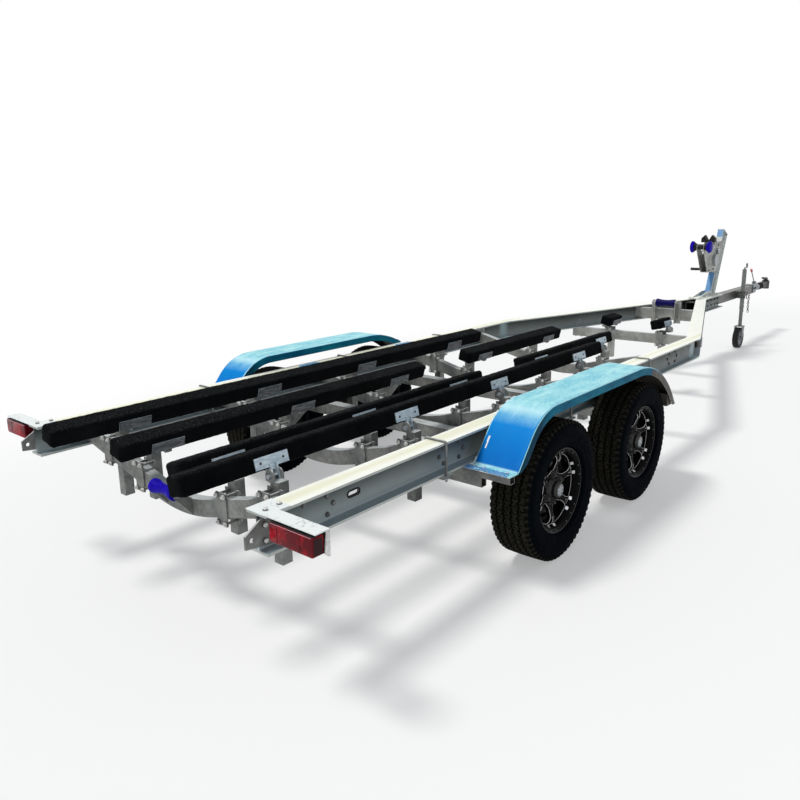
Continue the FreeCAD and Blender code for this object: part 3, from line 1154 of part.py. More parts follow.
def coupling_housing():
    """Cast body over the drawbar's front end, with the slide tube ahead and the lever's ears."""
    rear, front = COUPLING_BODY_X
    half = DRAWBAR_SIZE / 2
    wall = COUPLING_WALL
    z_axis = RAIL_AXIS_Z
    saddle = box((rear, DRAWBAR_FRONT_X + 20), around(0, DRAWBAR_SIZE + 2 * wall),
                 (z_axis - half + 10, z_axis + half + wall))
    hollow = box((rear - 1, DRAWBAR_FRONT_X), around(0, DRAWBAR_SIZE), (0, z_axis + half))
    tube = rod(Vector(DRAWBAR_FRONT_X + 10, 0, z_axis), Vector(front, 0, z_axis),
               COUPLING_SLIDE_RADIUS + 14)
    bore = rod(Vector(DRAWBAR_FRONT_X + 60, 0, z_axis), Vector(front + 1, 0, z_axis),
               COUPLING_SLIDE_RADIUS + SEAT_GAP)
    rib = side_profile(outline(((DRAWBAR_FRONT_X, z_axis + half), (DRAWBAR_FRONT_X, z_axis),
                                (front - 30, z_axis), (front - 30, z_axis + 44))), (-6, 6))
    ears = [side_profile(outline(((LEVER_X - 34, z_axis + 20), (LEVER_X + 34, z_axis + 20),
                                  (LEVER_X + 22, LEVER_PIVOT_Z + 18), (LEVER_X - 22, LEVER_PIVOT_Z + 18))),
                         (y, y + 6)) for y in (10, -16)]
    pivot = rod(Vector(LEVER_X, -half, LEVER_PIVOT_Z), Vector(LEVER_X, half, LEVER_PIVOT_Z),
                LEVER_PIN_RADIUS + SEAT_GAP)
    return fuse([saddle.cut(hollow), tube, rib] + ears).cut([bore, pivot])


def bellows():
    """Ribbed rubber boot between the slide tube and the head."""
    start, end = BELLOWS_X
    inner = COUPLING_SLIDE_RADIUS + 1
    pitch = (end - start) / BELLOWS_FOLDS
    profile = [(0, inner), (0, BELLOWS_RADIUS - 10)]
    for fold in range(BELLOWS_FOLDS):
        profile.append(((fold + 0.5) * pitch, BELLOWS_RADIUS))
        profile.append(((fold + 1) * pitch, BELLOWS_RADIUS - 12))
    profile.append((end - start, inner))
    return turned_polygon(profile, Vector(start, 0, RAIL_AXIS_Z), X_AXIS)


def coupling_head():
    """Slide shaft, neck and hooded head with its ball socket opening downward."""
    z_axis = RAIL_AXIS_Z
    shaft = rod(Vector(DRAWBAR_FRONT_X + 70, 0, z_axis), Vector(BELLOWS_X[1] + 10, 0, z_axis),
                COUPLING_SLIDE_RADIUS)
    neck = box((BELLOWS_X[1], BALL_SOCKET_X - 20), around(0, HEAD_RADIUS * 1.3),
               (z_axis - 34, z_axis + 40))
    crown_z = z_axis + HEAD_TOP
    hood = rod(Vector(BALL_SOCKET_X, 0, z_axis - HEAD_DROP), Vector(BALL_SOCKET_X, 0, crown_z - 14),
               HEAD_RADIUS)
    dome = rod(Vector(BALL_SOCKET_X, 0, crown_z - 14), Vector(BALL_SOCKET_X, 0, crown_z),
               HEAD_RADIUS - 14)
    nose = box((BALL_SOCKET_X, NOSE_REACH), around(0, 40), (z_axis - HEAD_DROP, z_axis - HEAD_DROP + 16))
    mouth = rod(Vector(BALL_SOCKET_X, 0, z_axis - HEAD_DROP - 1), Vector(BALL_SOCKET_X, 0, SOCKET_CENTRE_Z),
                BALL_SOCKET_RADIUS)
    cup = Part.makeSphere(BALL_SOCKET_RADIUS, Vector(BALL_SOCKET_X, 0, SOCKET_CENTRE_Z))
    return fuse([shaft, neck, hood, dome, nose]).cut([mouth, cup])


def coupling_latch():
    """Hand latch on top of the head."""
    x, top = BALL_SOCKET_X, RAIL_AXIS_Z + HEAD_TOP
    face = outline(((x - 150, top + 22), (x + 20, top), (x + 34, top + 10), (x + 20, top + 26),
                    (x - 40, top + 34), (x - 150, top + 42)))
    return side_profile(face, (-17, 17))


def brake_lever():
    """Handbrake lever with a round grip, leaning back from its pivot."""
    angle = math.radians(LEVER_LEAN)
    base = Vector(LEVER_X, 0, LEVER_PIVOT_Z)
    tip = base + Vector(-math.sin(angle), 0, math.cos(angle)) * LEVER_LENGTH
    grip = tip - Vector(-math.sin(angle), 0, math.cos(angle)) * 42
    pin = rod(Vector(LEVER_X, -22, LEVER_PIVOT_Z), Vector(LEVER_X, 22, LEVER_PIVOT_Z), LEVER_PIN_RADIUS)
    foot = rod(Vector(LEVER_X, -8, LEVER_PIVOT_Z), Vector(LEVER_X, 8, LEVER_PIVOT_Z), 16)
    return fuse([rod(base, grip, 7), pin, foot, rod(grip, tip, 13)])


def build():
    """Make every piece and write it."""
    left_rail = rail()
    export("rail_left", left_rail)
    export("rail_right", other_side(left_rail))
    export("bent_crossmembers", Part.makeCompound([bent_crossmember(x) for x in CROSS_STATIONS]))
    export("crossmember_front", front_crossmember())
    export("crossmember_roller", roller_crossmember())
    export("drawbar", drawbar())
    for name, station in AXLE_STATIONS.items():
        export("axle_" + name, axle(station))
        centre = Vector(station, WHEEL_Y, TYRE_RADIUS)
        wheel_tyre = tyre(centre, TYRE_RADIUS, TYRE_WIDTH, BEAD_RADIUS, RIM_LIP_RADIUS + LIP_GAP,
                          RIM_WIDTH)
        wheel = {"tyre": wheel_tyre, "rim": rim(centre), "hub": hub(centre)}
        for piece, shape in wheel.items():
            export("%s_%s_left" % (piece, name), shape)
            export("%s_%s_right" % (piece, name), other_side(shape))
    left_guard = guard()
    export("mudguard_left", left_guard)
    export("mudguard_right", other_side(left_guard))
    export("outer_bunks", both_sides(bunk(OUTER_BUNK_X, OUTER_BUNK_Y, OUTER_BUNK_Z, BUNK_TILT)))
    export("inner_rear_bunks", both_sides(bunk(INNER_REAR_BUNK_X, INNER_BUNK_Y, INNER_BUNK_Z, BUNK_TILT)))
    export("inner_front_bunks", both_sides(bunk(INNER_FRONT_BUNK_X, INNER_BUNK_Y, INNER_BUNK_Z, BUNK_TILT)))
    export("front_pads", both_sides(bunk(PAD_X, PAD_Y, PAD_Z, BUNK_TILT)))
    posts, swivels = bunk_supports()
    export("bunk_posts", both_sides(Part.makeCompound(posts)))
    export("bunk_swivels", both_sides(Part.makeCompound(swivels)))
    export("lamp_plates", both_sides(lamp_plate()))
    export("tail_lamps", both_sides(tail_lamp()))
    export("strap_eyes", both_sides(strap_eye()))
    export("side_markers", both_sides(side_marker()))
    bore = KEEL_PIN_RADIUS + SEAT_GAP
    export("keel_roller_rear", spool(Vector(REAR_ROLLER_X, 0, REAR_ROLLER_Z), REAR_ROLLER_LENGTH,
                                     REAR_ROLLER_RADIUS, REAR_ROLLER_WAIST, bore))
    export("keel_roller_front", spool(Vector(FRONT_ROLLER_X, 0, FRONT_ROLLER_Z), FRONT_ROLLER_LENGTH,
                                      FRONT_ROLLER_RADIUS, FRONT_ROLLER_WAIST, bore))
    export("keel_bracket_rear", rear_roller_bracket())
    export("keel_bracket_front", front_roller_bracket())
    export("mudguard_mountings", both_sides(Part.makeCompound(guard_mountings())))
    export("winch_post", winch_post())
    export("winch_bracket", winch_bracket())
    export("winch_frame", winch_frame())
    export("winch_drum", winch_drum())
    export("winch_crank", winch_crank())
    export("bow_roller", bow_roller())
    export("bow_stop", bow_stop())
    export("jockey_clamp", jockey_clamp())
    export("jockey_tube", jockey_tube())
    export("jockey_leg", jockey_leg())
    export("jockey_fork", jockey_fork())
    ring, centre = jockey_wheel()
    export("jockey_tyre", ring)
    export("jockey_rim", centre)
    export("coupling_housing", coupling_housing())
    export("coupling_bellows", bellows())
    export("coupling_head", coupling_head())
    export("coupling_latch", coupling_latch())
    export("brake_lever", brake_lever())


build()
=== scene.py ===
import math
import random

import bmesh
import bpy
from mathutils import Matrix, Vector


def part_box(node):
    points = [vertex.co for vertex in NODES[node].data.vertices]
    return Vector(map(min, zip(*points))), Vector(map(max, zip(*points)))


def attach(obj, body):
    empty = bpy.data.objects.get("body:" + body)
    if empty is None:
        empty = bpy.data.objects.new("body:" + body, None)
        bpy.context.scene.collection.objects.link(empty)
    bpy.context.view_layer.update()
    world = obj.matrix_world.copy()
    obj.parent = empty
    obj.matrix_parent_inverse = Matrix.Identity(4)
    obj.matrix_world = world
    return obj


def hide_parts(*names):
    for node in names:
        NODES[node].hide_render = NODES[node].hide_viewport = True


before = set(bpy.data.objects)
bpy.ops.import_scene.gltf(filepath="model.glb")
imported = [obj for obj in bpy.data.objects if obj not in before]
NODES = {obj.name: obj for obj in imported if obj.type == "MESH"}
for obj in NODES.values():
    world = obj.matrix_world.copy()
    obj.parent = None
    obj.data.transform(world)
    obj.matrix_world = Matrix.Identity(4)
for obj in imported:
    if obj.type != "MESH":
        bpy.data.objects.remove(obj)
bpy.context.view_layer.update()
MID_X = -sum(corner.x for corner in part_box("tyre_rear_left")) / 2


def at(x):
    """Place along the trailer in the frame, from its distance ahead of the rear axle."""
    return x - MID_X


AXLE_SPACING = 0.967
AXLE_CLAMPS = (at(0.150), at(1.117))
CROSS_STATIONS = [at(x) for x in (-1.37, -0.55, 0.25, 1.20, 2.11)]
FRONT_CROSS_X = at(3.46)
ROLLER_CROSS_X = at(4.26)

# Rail section, and where the rails bend in and meet
RAIL_Y = 0.832
RAIL_TOP = 0.717
RAIL_BOTTOM = 0.572
RAIL_AXIS_Z = (RAIL_TOP + RAIL_BOTTOM) / 2
FLANGE_HALF = 0.050
WEB_HALF = 0.0035
END_PLATE = 0.008
BEND_X = at(2.55)
JOIN_X = at(5.10)
JOIN_Y = 0.0535

# Mudguard in side view, from its rear foot to its front toe, and its edges across
GUARD_TOP = 0.812
GUARD_THICK = 0.004
GUARD_FOOT_Z = RAIL_BOTTOM + GUARD_THICK
GUARD_TOE_Z = 0.496
GUARD_SKIRT = 0.044
GUARD_Y = (0.888, 1.122)
GUARD_POINTS = [(at(x), z) for x, z in ((-0.524, GUARD_FOOT_Z), (-0.452, GUARD_FOOT_Z), (-0.255, GUARD_TOP),
                                        (1.183, GUARD_TOP), (1.404, GUARD_TOE_Z))]
GUARD_RADII = (0.030, 0.300, 0.690)

# Camera solved from the photograph, in pixels of its 800 by 800 frame
PHOTO_SIZE = 800
FOCAL_PIXELS = 724.4
CENTRE_PIXEL = (391.1, 378.4)
CAMERA_PLACE = (at(-3.019), -2.639, 1.664)
CAMERA_YAW, CAMERA_PITCH, CAMERA_ROLL = (math.radians(a) for a in (40.98, -12.69, -1.12))

SKY_STRENGTH = 0.42
SUN_STRENGTH = 2.3
FILL_POWER = 22
FLOOR_HALF = 60.0
FLOOR_REACH = (6.2, 2.6)
FLOOR_LIFT = 0.35

SIDES = (("left", 1), ("right", -1))
UP = Vector((0, 0, 1))
DOWN = (0, 0, -1)


# Shader nodes

NOISE_ROUGHNESS = 0.55


class Graph:
    """Shader nodes of one tree, with short ways to add and join them."""

    def __init__(self, tree):
        self.tree = tree

    def node(self, kind, inputs=(), **settings):
        """New node with settings and inputs; an input is a value or another node's output."""
        made = self.tree.nodes.new("ShaderNode" + kind)
        for key, value in settings.items():
            setattr(made, key, value)
        for key, value in dict(inputs).items():
            if isinstance(value, bpy.types.NodeSocket):
                self.tree.links.new(value, made.inputs[key])
            else:
                made.inputs[key].default_value = value
        return made

    def curve(self, value, low, high, out_low=0.0, out_high=1.0, **settings):
        """A value spread and clamped from one range to another."""
        inputs = {"Value": value, "From Min": low, "From Max": high, "To Min": out_low, "To Max": out_high}
        return self.node("MapRange", inputs, **settings).outputs["Result"]

    def math(self, operation, first, second=0.0):
        return self.node("Math", {0: first, 1: second}, operation=operation).outputs["Value"]

    def seen_directly(self):
        """1 for rays from the camera, and for those that a mirror or a lens sends on."""
        rays = self.node("LightPath").outputs
        seen = self.math("MAXIMUM", rays["Is Camera Ray"], rays["Is Glossy Ray"])
        return self.math("MAXIMUM", seen, rays["Is Transmission Ray"])

    def mix_shaders(self, share, first, second):
        return self.node("MixShader", {0: share, 1: first.outputs[0], 2: second.outputs[0]}).outputs["Shader"]


class Finish(Graph):
    """A procedural surface built on one Principled shader, in the row's own coordinates."""

    def __init__(self, name, colour, roughness=0.5, metallic=0.0, specular=0.5):
        self.material = bpy.data.materials.new(name)
        self.material.use_nodes = True
        super().__init__(self.material.node_tree)
        self.shader = self.tree.nodes["Principled BSDF"]
        for key, value in (("Base Color", (*colour, 1)), ("Roughness", roughness), ("Metallic", metallic),
                           ("Specular IOR Level", specular)):
            self.shader.inputs[key].default_value = value
        self.place = self.node("TexCoord").outputs["Object"]
        self.normal = None

    def times(self, first, second):
        return self.math("MULTIPLY", first, second)

    def rest(self, share):
        """What a share leaves of 1."""
        return self.math("SUBTRACT", 1.0, share)

    def off(self, value, middle):
        """Distance of a value from a middle one."""
        return self.math("ABSOLUTE", self.math("SUBTRACT", value, middle))

    def mix(self, share, first, second):
        """Two colours mixed by a share; each is a colour or an output."""
        first, second = ((*c, 1) if isinstance(c, tuple) else c for c in (first, second))
        return self.node("Mix", {"Factor": share, 6: first, 7: second}, data_type="RGBA").outputs[2]

    def stretched(self, scale):
        """Coordinates scaled along each axis, for grain that runs one way."""
        return self.node("Mapping", {"Vector": self.place, "Scale": scale}).outputs["Vector"]

    def noise(self, scale, detail, stretch=None):
        place = self.stretched(stretch) if stretch else self.place
        inputs = {"Vector": place, "Scale": scale, "Detail": detail, "Roughness": NOISE_ROUGHNESS}
        return self.node("TexNoise", inputs).outputs["Fac"]

    def grain(self, scale, detail, low, high, out_low=0.0, out_high=1.0, stretch=None):
        """Noise, the span between two of its levels spread over a range."""
        return self.curve(self.noise(scale, detail, stretch), low, high, out_low, out_high)

    def cells(self, scale, stretch=None):
        place = self.stretched(stretch) if stretch else self.place
        return self.node("TexVoronoi", {"Vector": place, "Scale": scale}).outputs

    def part(self, output, axis=0):
        """One of the three parts of a place, a direction or a colour."""
        return self.node("SeparateXYZ", {0: output}).outputs[axis]

    def place_part(self, axis):
        return self.part(self.place, axis)

    def normal_part(self, axis):
        """One part of the surface's own normal, along X, Y or Z of the row."""
        return self.part(self.node("NewGeometry").outputs["Normal"], axis)

    def colour(self, output):
        self.tree.links.new(output, self.shader.inputs["Base Color"])

    def roughness(self, scale, detail, low, high):
        """Roughness that wanders between two values."""
        output = self.grain(scale, detail, 0.3, 0.7, low, high)
        self.tree.links.new(output, self.shader.inputs["Roughness"])

    def relief(self, output, distance, strength):
        """Bumps from an output, on top of any before them."""
        inputs = {"Height": output, "Distance": distance, "Strength": strength}
        if self.normal is not None:
            inputs["Normal"] = self.normal
        self.normal = self.node("Bump", inputs).outputs["Normal"]
        self.tree.links.new(self.normal, self.shader.inputs["Normal"])
        return self

    def bump(self, scale, detail, distance, strength, stretch=None):
        return self.relief(self.noise(scale, detail, stretch), distance, strength)


# Camera, floor and light

def add_object(name, data, place=None):
    """Object of some data, linked to the scene."""
    made = bpy.data.objects.new(name, data)
    if place is not None:
        made.matrix_world = place
    bpy.context.scene.collection.objects.link(made)
    return made


def add_camera():
    """Camera at the photograph's viewpoint."""
    ahead = Vector((math.cos(CAMERA_PITCH) * math.cos(CAMERA_YAW),
                    math.cos(CAMERA_PITCH) * math.sin(CAMERA_YAW), math.sin(CAMERA_PITCH)))
    level = ahead.cross(UP).normalized()
    raised = level.cross(ahead)
    right = level * math.cos(CAMERA_ROLL) + raised * math.sin(CAMERA_ROLL)
    up = raised * math.cos(CAMERA_ROLL) - level * math.sin(CAMERA_ROLL)
    data = bpy.data.cameras.new("camera")
    data.sensor_width = 36
    data.lens = FOCAL_PIXELS * data.sensor_width / PHOTO_SIZE
    data.shift_x = 0.5 - CENTRE_PIXEL[0] / PHOTO_SIZE
    data.shift_y = CENTRE_PIXEL[1] / PHOTO_SIZE - 0.5
    data.clip_end = 200
    turn = Matrix((right, up, -ahead)).transposed().to_4x4()
    bpy.context.scene.camera = add_object("camera", data, Matrix.Translation(CAMERA_PLACE) @ turn)


def add_light(name, kind, place, aim, power, colour, **settings):
    """Light at a place, shining along a direction."""
    data = bpy.data.lights.new(name, kind)
    data.energy = power
    data.color = colour
    for key, value in settings.items():
        setattr(data, key, value)
    turn = Vector(aim).to_track_quat("-Z", "Y").to_matrix().to_4x4()
    add_object(name, data, Matrix.Translation(place) @ turn)


def add_world():
    """Even sky for light, plain white for the camera and in reflections."""
    world = bpy.data.worlds.new("studio")
    world.use_nodes = True
    graph = Graph(world.node_tree)
    graph.tree.nodes.clear()
    sky = graph.node("Background", {"Color": (0.88, 0.94, 1.0, 1), "Strength": SKY_STRENGTH})
    white = graph.node("Background", {"Color": (1, 1, 1, 1), "Strength": 1.0})
    graph.node("OutputWorld", {"Surface": graph.mix_shaders(graph.seen_directly(), sky, white)})
    bpy.context.scene.world = world


def floor_material():
    """Pale floor that keeps the shadow near the trailer and runs out into the white surroundings."""
    f = Finish("floor_paint", (0.86, 0.86, 0.86), 0.95, specular=0.0)
    white = f.node("Emission", {"Color": (1, 1, 1, 1), "Strength": 1.0})
    squeezed = f.stretched((1 / FLOOR_REACH[0], 1 / FLOOR_REACH[1], 0))
    reach = f.node("VectorMath", {0: squeezed}, operation="LENGTH").outputs["Value"]
    fade = f.curve(reach, 0.95, 1.7, FLOOR_LIFT, 1.0, interpolation_type="SMOOTHSTEP")
    surface = f.mix_shaders(f.times(fade, f.seen_directly()), f.shader, white)
    f.tree.links.new(surface, f.tree.nodes["Material Output"].inputs["Surface"])
    return f.material


def add_stage():
    """Surroundings, floor and lights."""
    add_world()
    mesh = bpy.data.meshes.new("floor")
    corners = [(x * FLOOR_HALF, y * FLOOR_HALF, 0) for x, y in ((-1, -1), (1, -1), (1, 1), (-1, 1))]
    mesh.from_pydata(corners, [], [(0, 1, 2, 3)])
    floor = add_object("floor", mesh)
    mesh.materials.append(floor_material())
    add_light("main_light", "SUN", (0, 0, 0), (0.42, -0.30, -1.0), SUN_STRENGTH, (1.0, 0.985, 0.95),
              angle=math.radians(14))
    add_light("near_fill", "AREA", (-6.0, -8.0, 3.0), (6.0, 8.0, -2.5), FILL_POWER, (1, 1, 1),
              shape="SQUARE", size=5.0)


# Materials

def galvanised():
    """Hot-dip zinc: faint spangle, dull patches, a painted highlight on upper faces and painted shade towards the
    rear.
    """
    f = Finish("galvanised", (0.30, 0.29, 0.27), 0.5, 0.35, 0.3)
    spangle = f.curve(f.cells(70)["Color"], 0.0, 1.0, 0.0, 0.16)
    tone = f.grain(9, 5, 0.35, 0.7)
    bright = f.mix(tone, (0.215, 0.218, 0.203), (0.44, 0.443, 0.415))
    # Painted shade: a darker tone, used towards the rear of the trailer.
    painted_rear_shade = f.mix(tone, (0.088, 0.092, 0.088), (0.215, 0.222, 0.212))
    # Painted highlight: a paler tone, used on faces turned up.
    pale = f.mix(tone, (0.42, 0.45, 0.46), (0.62, 0.65, 0.66))
    base = f.mix(f.curve(f.place_part(0), -3.0, 0.2), painted_rear_shade, bright)
    base = f.mix(f.curve(f.normal_part(2), 0.7, 0.96), base, pale)
    f.colour(f.mix(spangle, base, (0.58, 0.58, 0.56)))
    f.roughness(40, 3, 0.40, 0.62)
    return f.bump(260, 3, 0.0006, 0.35).material


def pressed_plate():
    """Pale galvanised cradle plates with small scratches, a cool painted sheen on faces turned up and painted shade
    on faces turned down.
    """
    f = Finish("pressed_plate", (0.55, 0.66, 0.74), 0.42, 0.35)
    scratch = f.grain(46, 5, 0.42, 0.66, stretch=(0.5, 2.0, 2.0))
    # Painted light and shade: the lit colour goes on faces turned up, the dim colour on faces turned down.
    lit = f.mix(scratch, (0.46, 0.57, 0.66), (0.70, 0.80, 0.86))
    dim = f.mix(scratch, (0.045, 0.052, 0.058), (0.15, 0.16, 0.17))
    f.colour(f.mix(f.curve(f.normal_part(2), -0.18, 0.16), dim, lit))
    return f.bump(220, 3, 0.0006, 0.3).material


def rail_film():
    """Aluminium rail: creamy film on the top flange, grey-green to blue-grey webs. The webs carry painted shade,
    darker upwards and towards the front, painted light on faces turned up below the top and a painted reflection at
    the bend.
    """
    f = Finish("rail_film", (0.4, 0.41, 0.41), 0.42, 0.2, 0.15)
    along, across, up = (f.place_part(axis) for axis in range(3))
    on_top = f.curve(up, RAIL_TOP - 0.004, RAIL_TOP - 0.0015)
    facing_up = f.curve(f.normal_part(2), 0.75, 0.9)
    # Painted shade: the webs darken upwards under the top flange, and are darker towards the front.
    height = f.math("POWER", f.curve(up, RAIL_BOTTOM + 0.015, RAIL_TOP - 0.030), 0.5)
    rear_web = f.mix(height, (0.56, 0.63, 0.64), (0.062, 0.076, 0.073))
    front_web = f.mix(height, (0.42, 0.45, 0.45), (0.045, 0.052, 0.046))
    web = f.mix(f.curve(along, -4.4, -2.4), rear_web, front_web)
    streaks = f.grain(5, 5, 0.35, 0.68, stretch=(0.25, 2.5, 2.5))
    web = f.mix(f.times(streaks, 0.14), web, (0.30, 0.33, 0.34))
    # Painted light: faces turned up below the top flange, such as the bottom flange's ledge, are lighter and bluer.
    web = f.mix(f.times(facing_up, f.rest(on_top)), web, (0.27, 0.33, 0.36))
    flange_edge = f.math("GREATER_THAN", f.off(up, RAIL_AXIS_Z), 0.0615)
    web = f.mix(f.times(flange_edge, f.rest(facing_up)), web, (0.46, 0.49, 0.47))
    # Painted reflection: a pale blue band across the web at the bend.
    web = f.mix(f.curve(f.off(along, BEND_X - 0.03), 0.02, 0.075, 0.6, 0.0), web, (0.46, 0.62, 0.66))
    off_middle = f.off(f.math("ABSOLUTE", across), RAIL_Y - 0.008)
    wander = f.grain(2.2, 3, 0.3, 0.7, -0.012, 0.012, stretch=(0.5, 1, 1))
    crease = f.curve(f.math("ADD", off_middle, wander), 0.010, 0.034)
    worn = f.grain(30, 5, 0.5, 0.7, stretch=(0.3, 1.2, 1))
    cream = f.mix(crease, (0.84, 0.83, 0.65), (0.93, 0.94, 0.86))
    cream = f.mix(f.times(worn, 0.25), cream, (0.74, 0.74, 0.68))
    f.colour(f.mix(f.times(on_top, facing_up), web, cream))
    f.roughness(14, 3, 0.34, 0.55)
    return f.bump(24, 5, 0.003, 0.18, stretch=(0.35, 1.4, 1.4)).material


def guard_film():
    """Blue protective film on the mudguards, with light and shade painted in: pale cyan where it lies flat, a
    painted highlight band where it bends, deep blue on the ends darkening lower down, and dark skirts as painted
    shade.
    """
    f = Finish("guard_film", (0.02, 0.3, 0.7), 0.4, 0.0, 0.04)
    up = f.normal_part(2)
    streak = f.grain(14, 6, 0.36, 0.70, stretch=(0.5, 1.3, 1.0))
    fine = f.grain(85, 5, 0.52, 0.68, stretch=(0.5, 1.2, 1.0))
    # Painted light: the film is pale cyan where it lies flat and faces up.
    top = f.mix(streak, (0.19, 0.56, 0.68), (0.42, 0.79, 0.82))
    top = f.mix(f.times(fine, 0.55), top, (0.66, 0.92, 0.92))
    # Painted shade: the deep blue ends darken towards the bottom.
    height = f.curve(f.place_part(2), RAIL_BOTTOM, GUARD_TOP - 0.03)
    slope = f.mix(height, (0.0, 0.13, 0.50), (0.0, 0.24, 0.68))
    slope = f.mix(f.times(streak, 0.08), slope, (0.03, 0.42, 0.84))
    shade = f.mix(f.curve(up, 0.74, 0.99), slope, top)
    # Painted highlight: a pale band where the top bends down into the ends.
    band = f.times(f.curve(up, 0.86, 0.93), f.curve(up, 0.94, 0.985, 1.0, 0.0))
    shade = f.mix(f.times(band, 0.6), shade, (0.60, 0.88, 0.92))
    # Painted shade: the side skirts are dark teal, darker still on the rear end.
    skirt = f.mix(f.grain(8, 4, 0.35, 0.7, stretch=(0.5, 1, 1)), (0.002, 0.10, 0.19), (0.010, 0.21, 0.30))
    skirt = f.mix(f.curve(f.place_part(0), at(-0.27), at(-0.20)), (0.003, 0.045, 0.085), skirt)
    sideways = f.curve(f.math("ABSOLUTE", f.normal_part(1)), 0.45, 0.85)
    f.colour(f.mix(sideways, shade, skirt))
    f.roughness(30, 4, 0.32, 0.52)
    f.bump(34, 6, 0.003, 0.15)
    return f.bump(170, 3, 0.0010, 0.2).material


def torn_film():
    """Crumpled film: blue with white creases."""
    f = Finish("torn_film", (0.02, 0.3, 0.7), 0.35)
    blue = f.mix(f.grain(40, 4, 0.4, 0.6), (0.0, 0.10, 0.32), (0.01, 0.26, 0.52))
    f.colour(f.mix(f.grain(170, 6, 0.52, 0.60), blue, (0.45, 0.68, 0.78)))
    return f.bump(110, 5, 0.003, 0.8).material


def carpet():
    """Needled near-black carpet with cool flecks on its upper faces."""
    f = Finish("carpet", (0.004, 0.0045, 0.005), 1.0, 0.0, 0.05)
    loops = f.cells(210)
    fleck = f.curve(loops["Distance"], 0.10, 0.42, 1.0, 0.0)
    chosen = f.curve(f.part(loops["Color"]), 0.42, 0.80)
    cover = f.math("ADD", f.times(f.curve(f.normal_part(2), 0.35, 0.92), 0.80), 0.05)
    worn = f.mix(f.grain(6, 4, 0.35, 0.7), (0.0018, 0.0021, 0.0025), (0.006, 0.0065, 0.0075))
    f.colour(f.mix(f.times(f.times(fleck, chosen), cover), worn, (0.115, 0.125, 0.13)))
    f.bump(300, 3, 0.004, 0.6)
    return f.relief(loops["Distance"], 0.004, 0.5).material


def lens_plastic(name, deep, bright):
    """Red lens over rows of small prisms, with painted glints over them."""
    f = Finish(name, deep, 0.25, 0.0, 0.15)
    # Painted glints: bright spots over the prisms.
    painted_glint = f.curve(f.cells(62, (0.1, 1.0, 1.0))["Distance"], 0.10, 0.16, 1.0, 0.0)
    base = f.mix(f.grain(11, 3, 0.42, 0.6), deep, bright)
    f.colour(f.mix(f.times(painted_glint, 0.55), base, (0.75, 0.10, 0.12)))
    return f.relief(f.cells(85, (0.2, 1.0, 1.4))["Distance"], 0.0010, 0.3).material


def white_plate():
    """Pale aluminium sheet under film with dusty specks."""
    f = Finish("white_plate", (0.78, 0.80, 0.80), 0.5)
    dust = f.times(f.grain(95, 5, 0.53, 0.62), f.grain(17, 4, 0.45, 0.62))
    f.colour(f.mix(dust, (0.80, 0.84, 0.83), (0.42, 0.45, 0.45)))
    return f.bump(90, 5, 0.0015, 0.3).material


def two_tone(name, base, surface, spots, tones, bump, gloss=None):
    """Plain surface of two tones in spots, with fine bumps; its roughness may wander.

    surface is (roughness, metallic, specular); spots, bump and gloss go to grain, bump and roughness.
    """
    f = Finish(name, base, *surface)
    f.colour(f.mix(f.grain(*spots), *tones))
    if gloss:
        f.roughness(*gloss)
    return f.bump(*bump).material


def metal(name, colour, metallic):
    """Zinc-plated or machined metal with fine grain."""
    dull = tuple(c * 0.6 for c in colour)
    return two_tone(name, colour, (0.35, metallic), (55, 4, 0.35, 0.72), (dull, colour), (420, 2, 0.0003, 0.25),
                    (120, 2, 0.28, 0.46))


def rubber(name, dark, light, rough=0.5, specular=0.25):
    """Moulded rubber in two close tones."""
    return two_tone(name, dark, (rough, 0.0, specular), (45, 4, 0.35, 0.7), (dark, light), (320, 3, 0.0006, 0.3),
                    (90, 3, rough - 0.08, rough + 0.14))


def paint(name, colour):
    """Smooth paint of one colour with light dust."""
    dusty = tuple(c * 0.75 + 0.01 for c in colour)
    return two_tone(name, colour, (0.35,), (40, 4, 0.4, 0.7), (colour, dusty), (200, 3, 0.0004, 0.2))


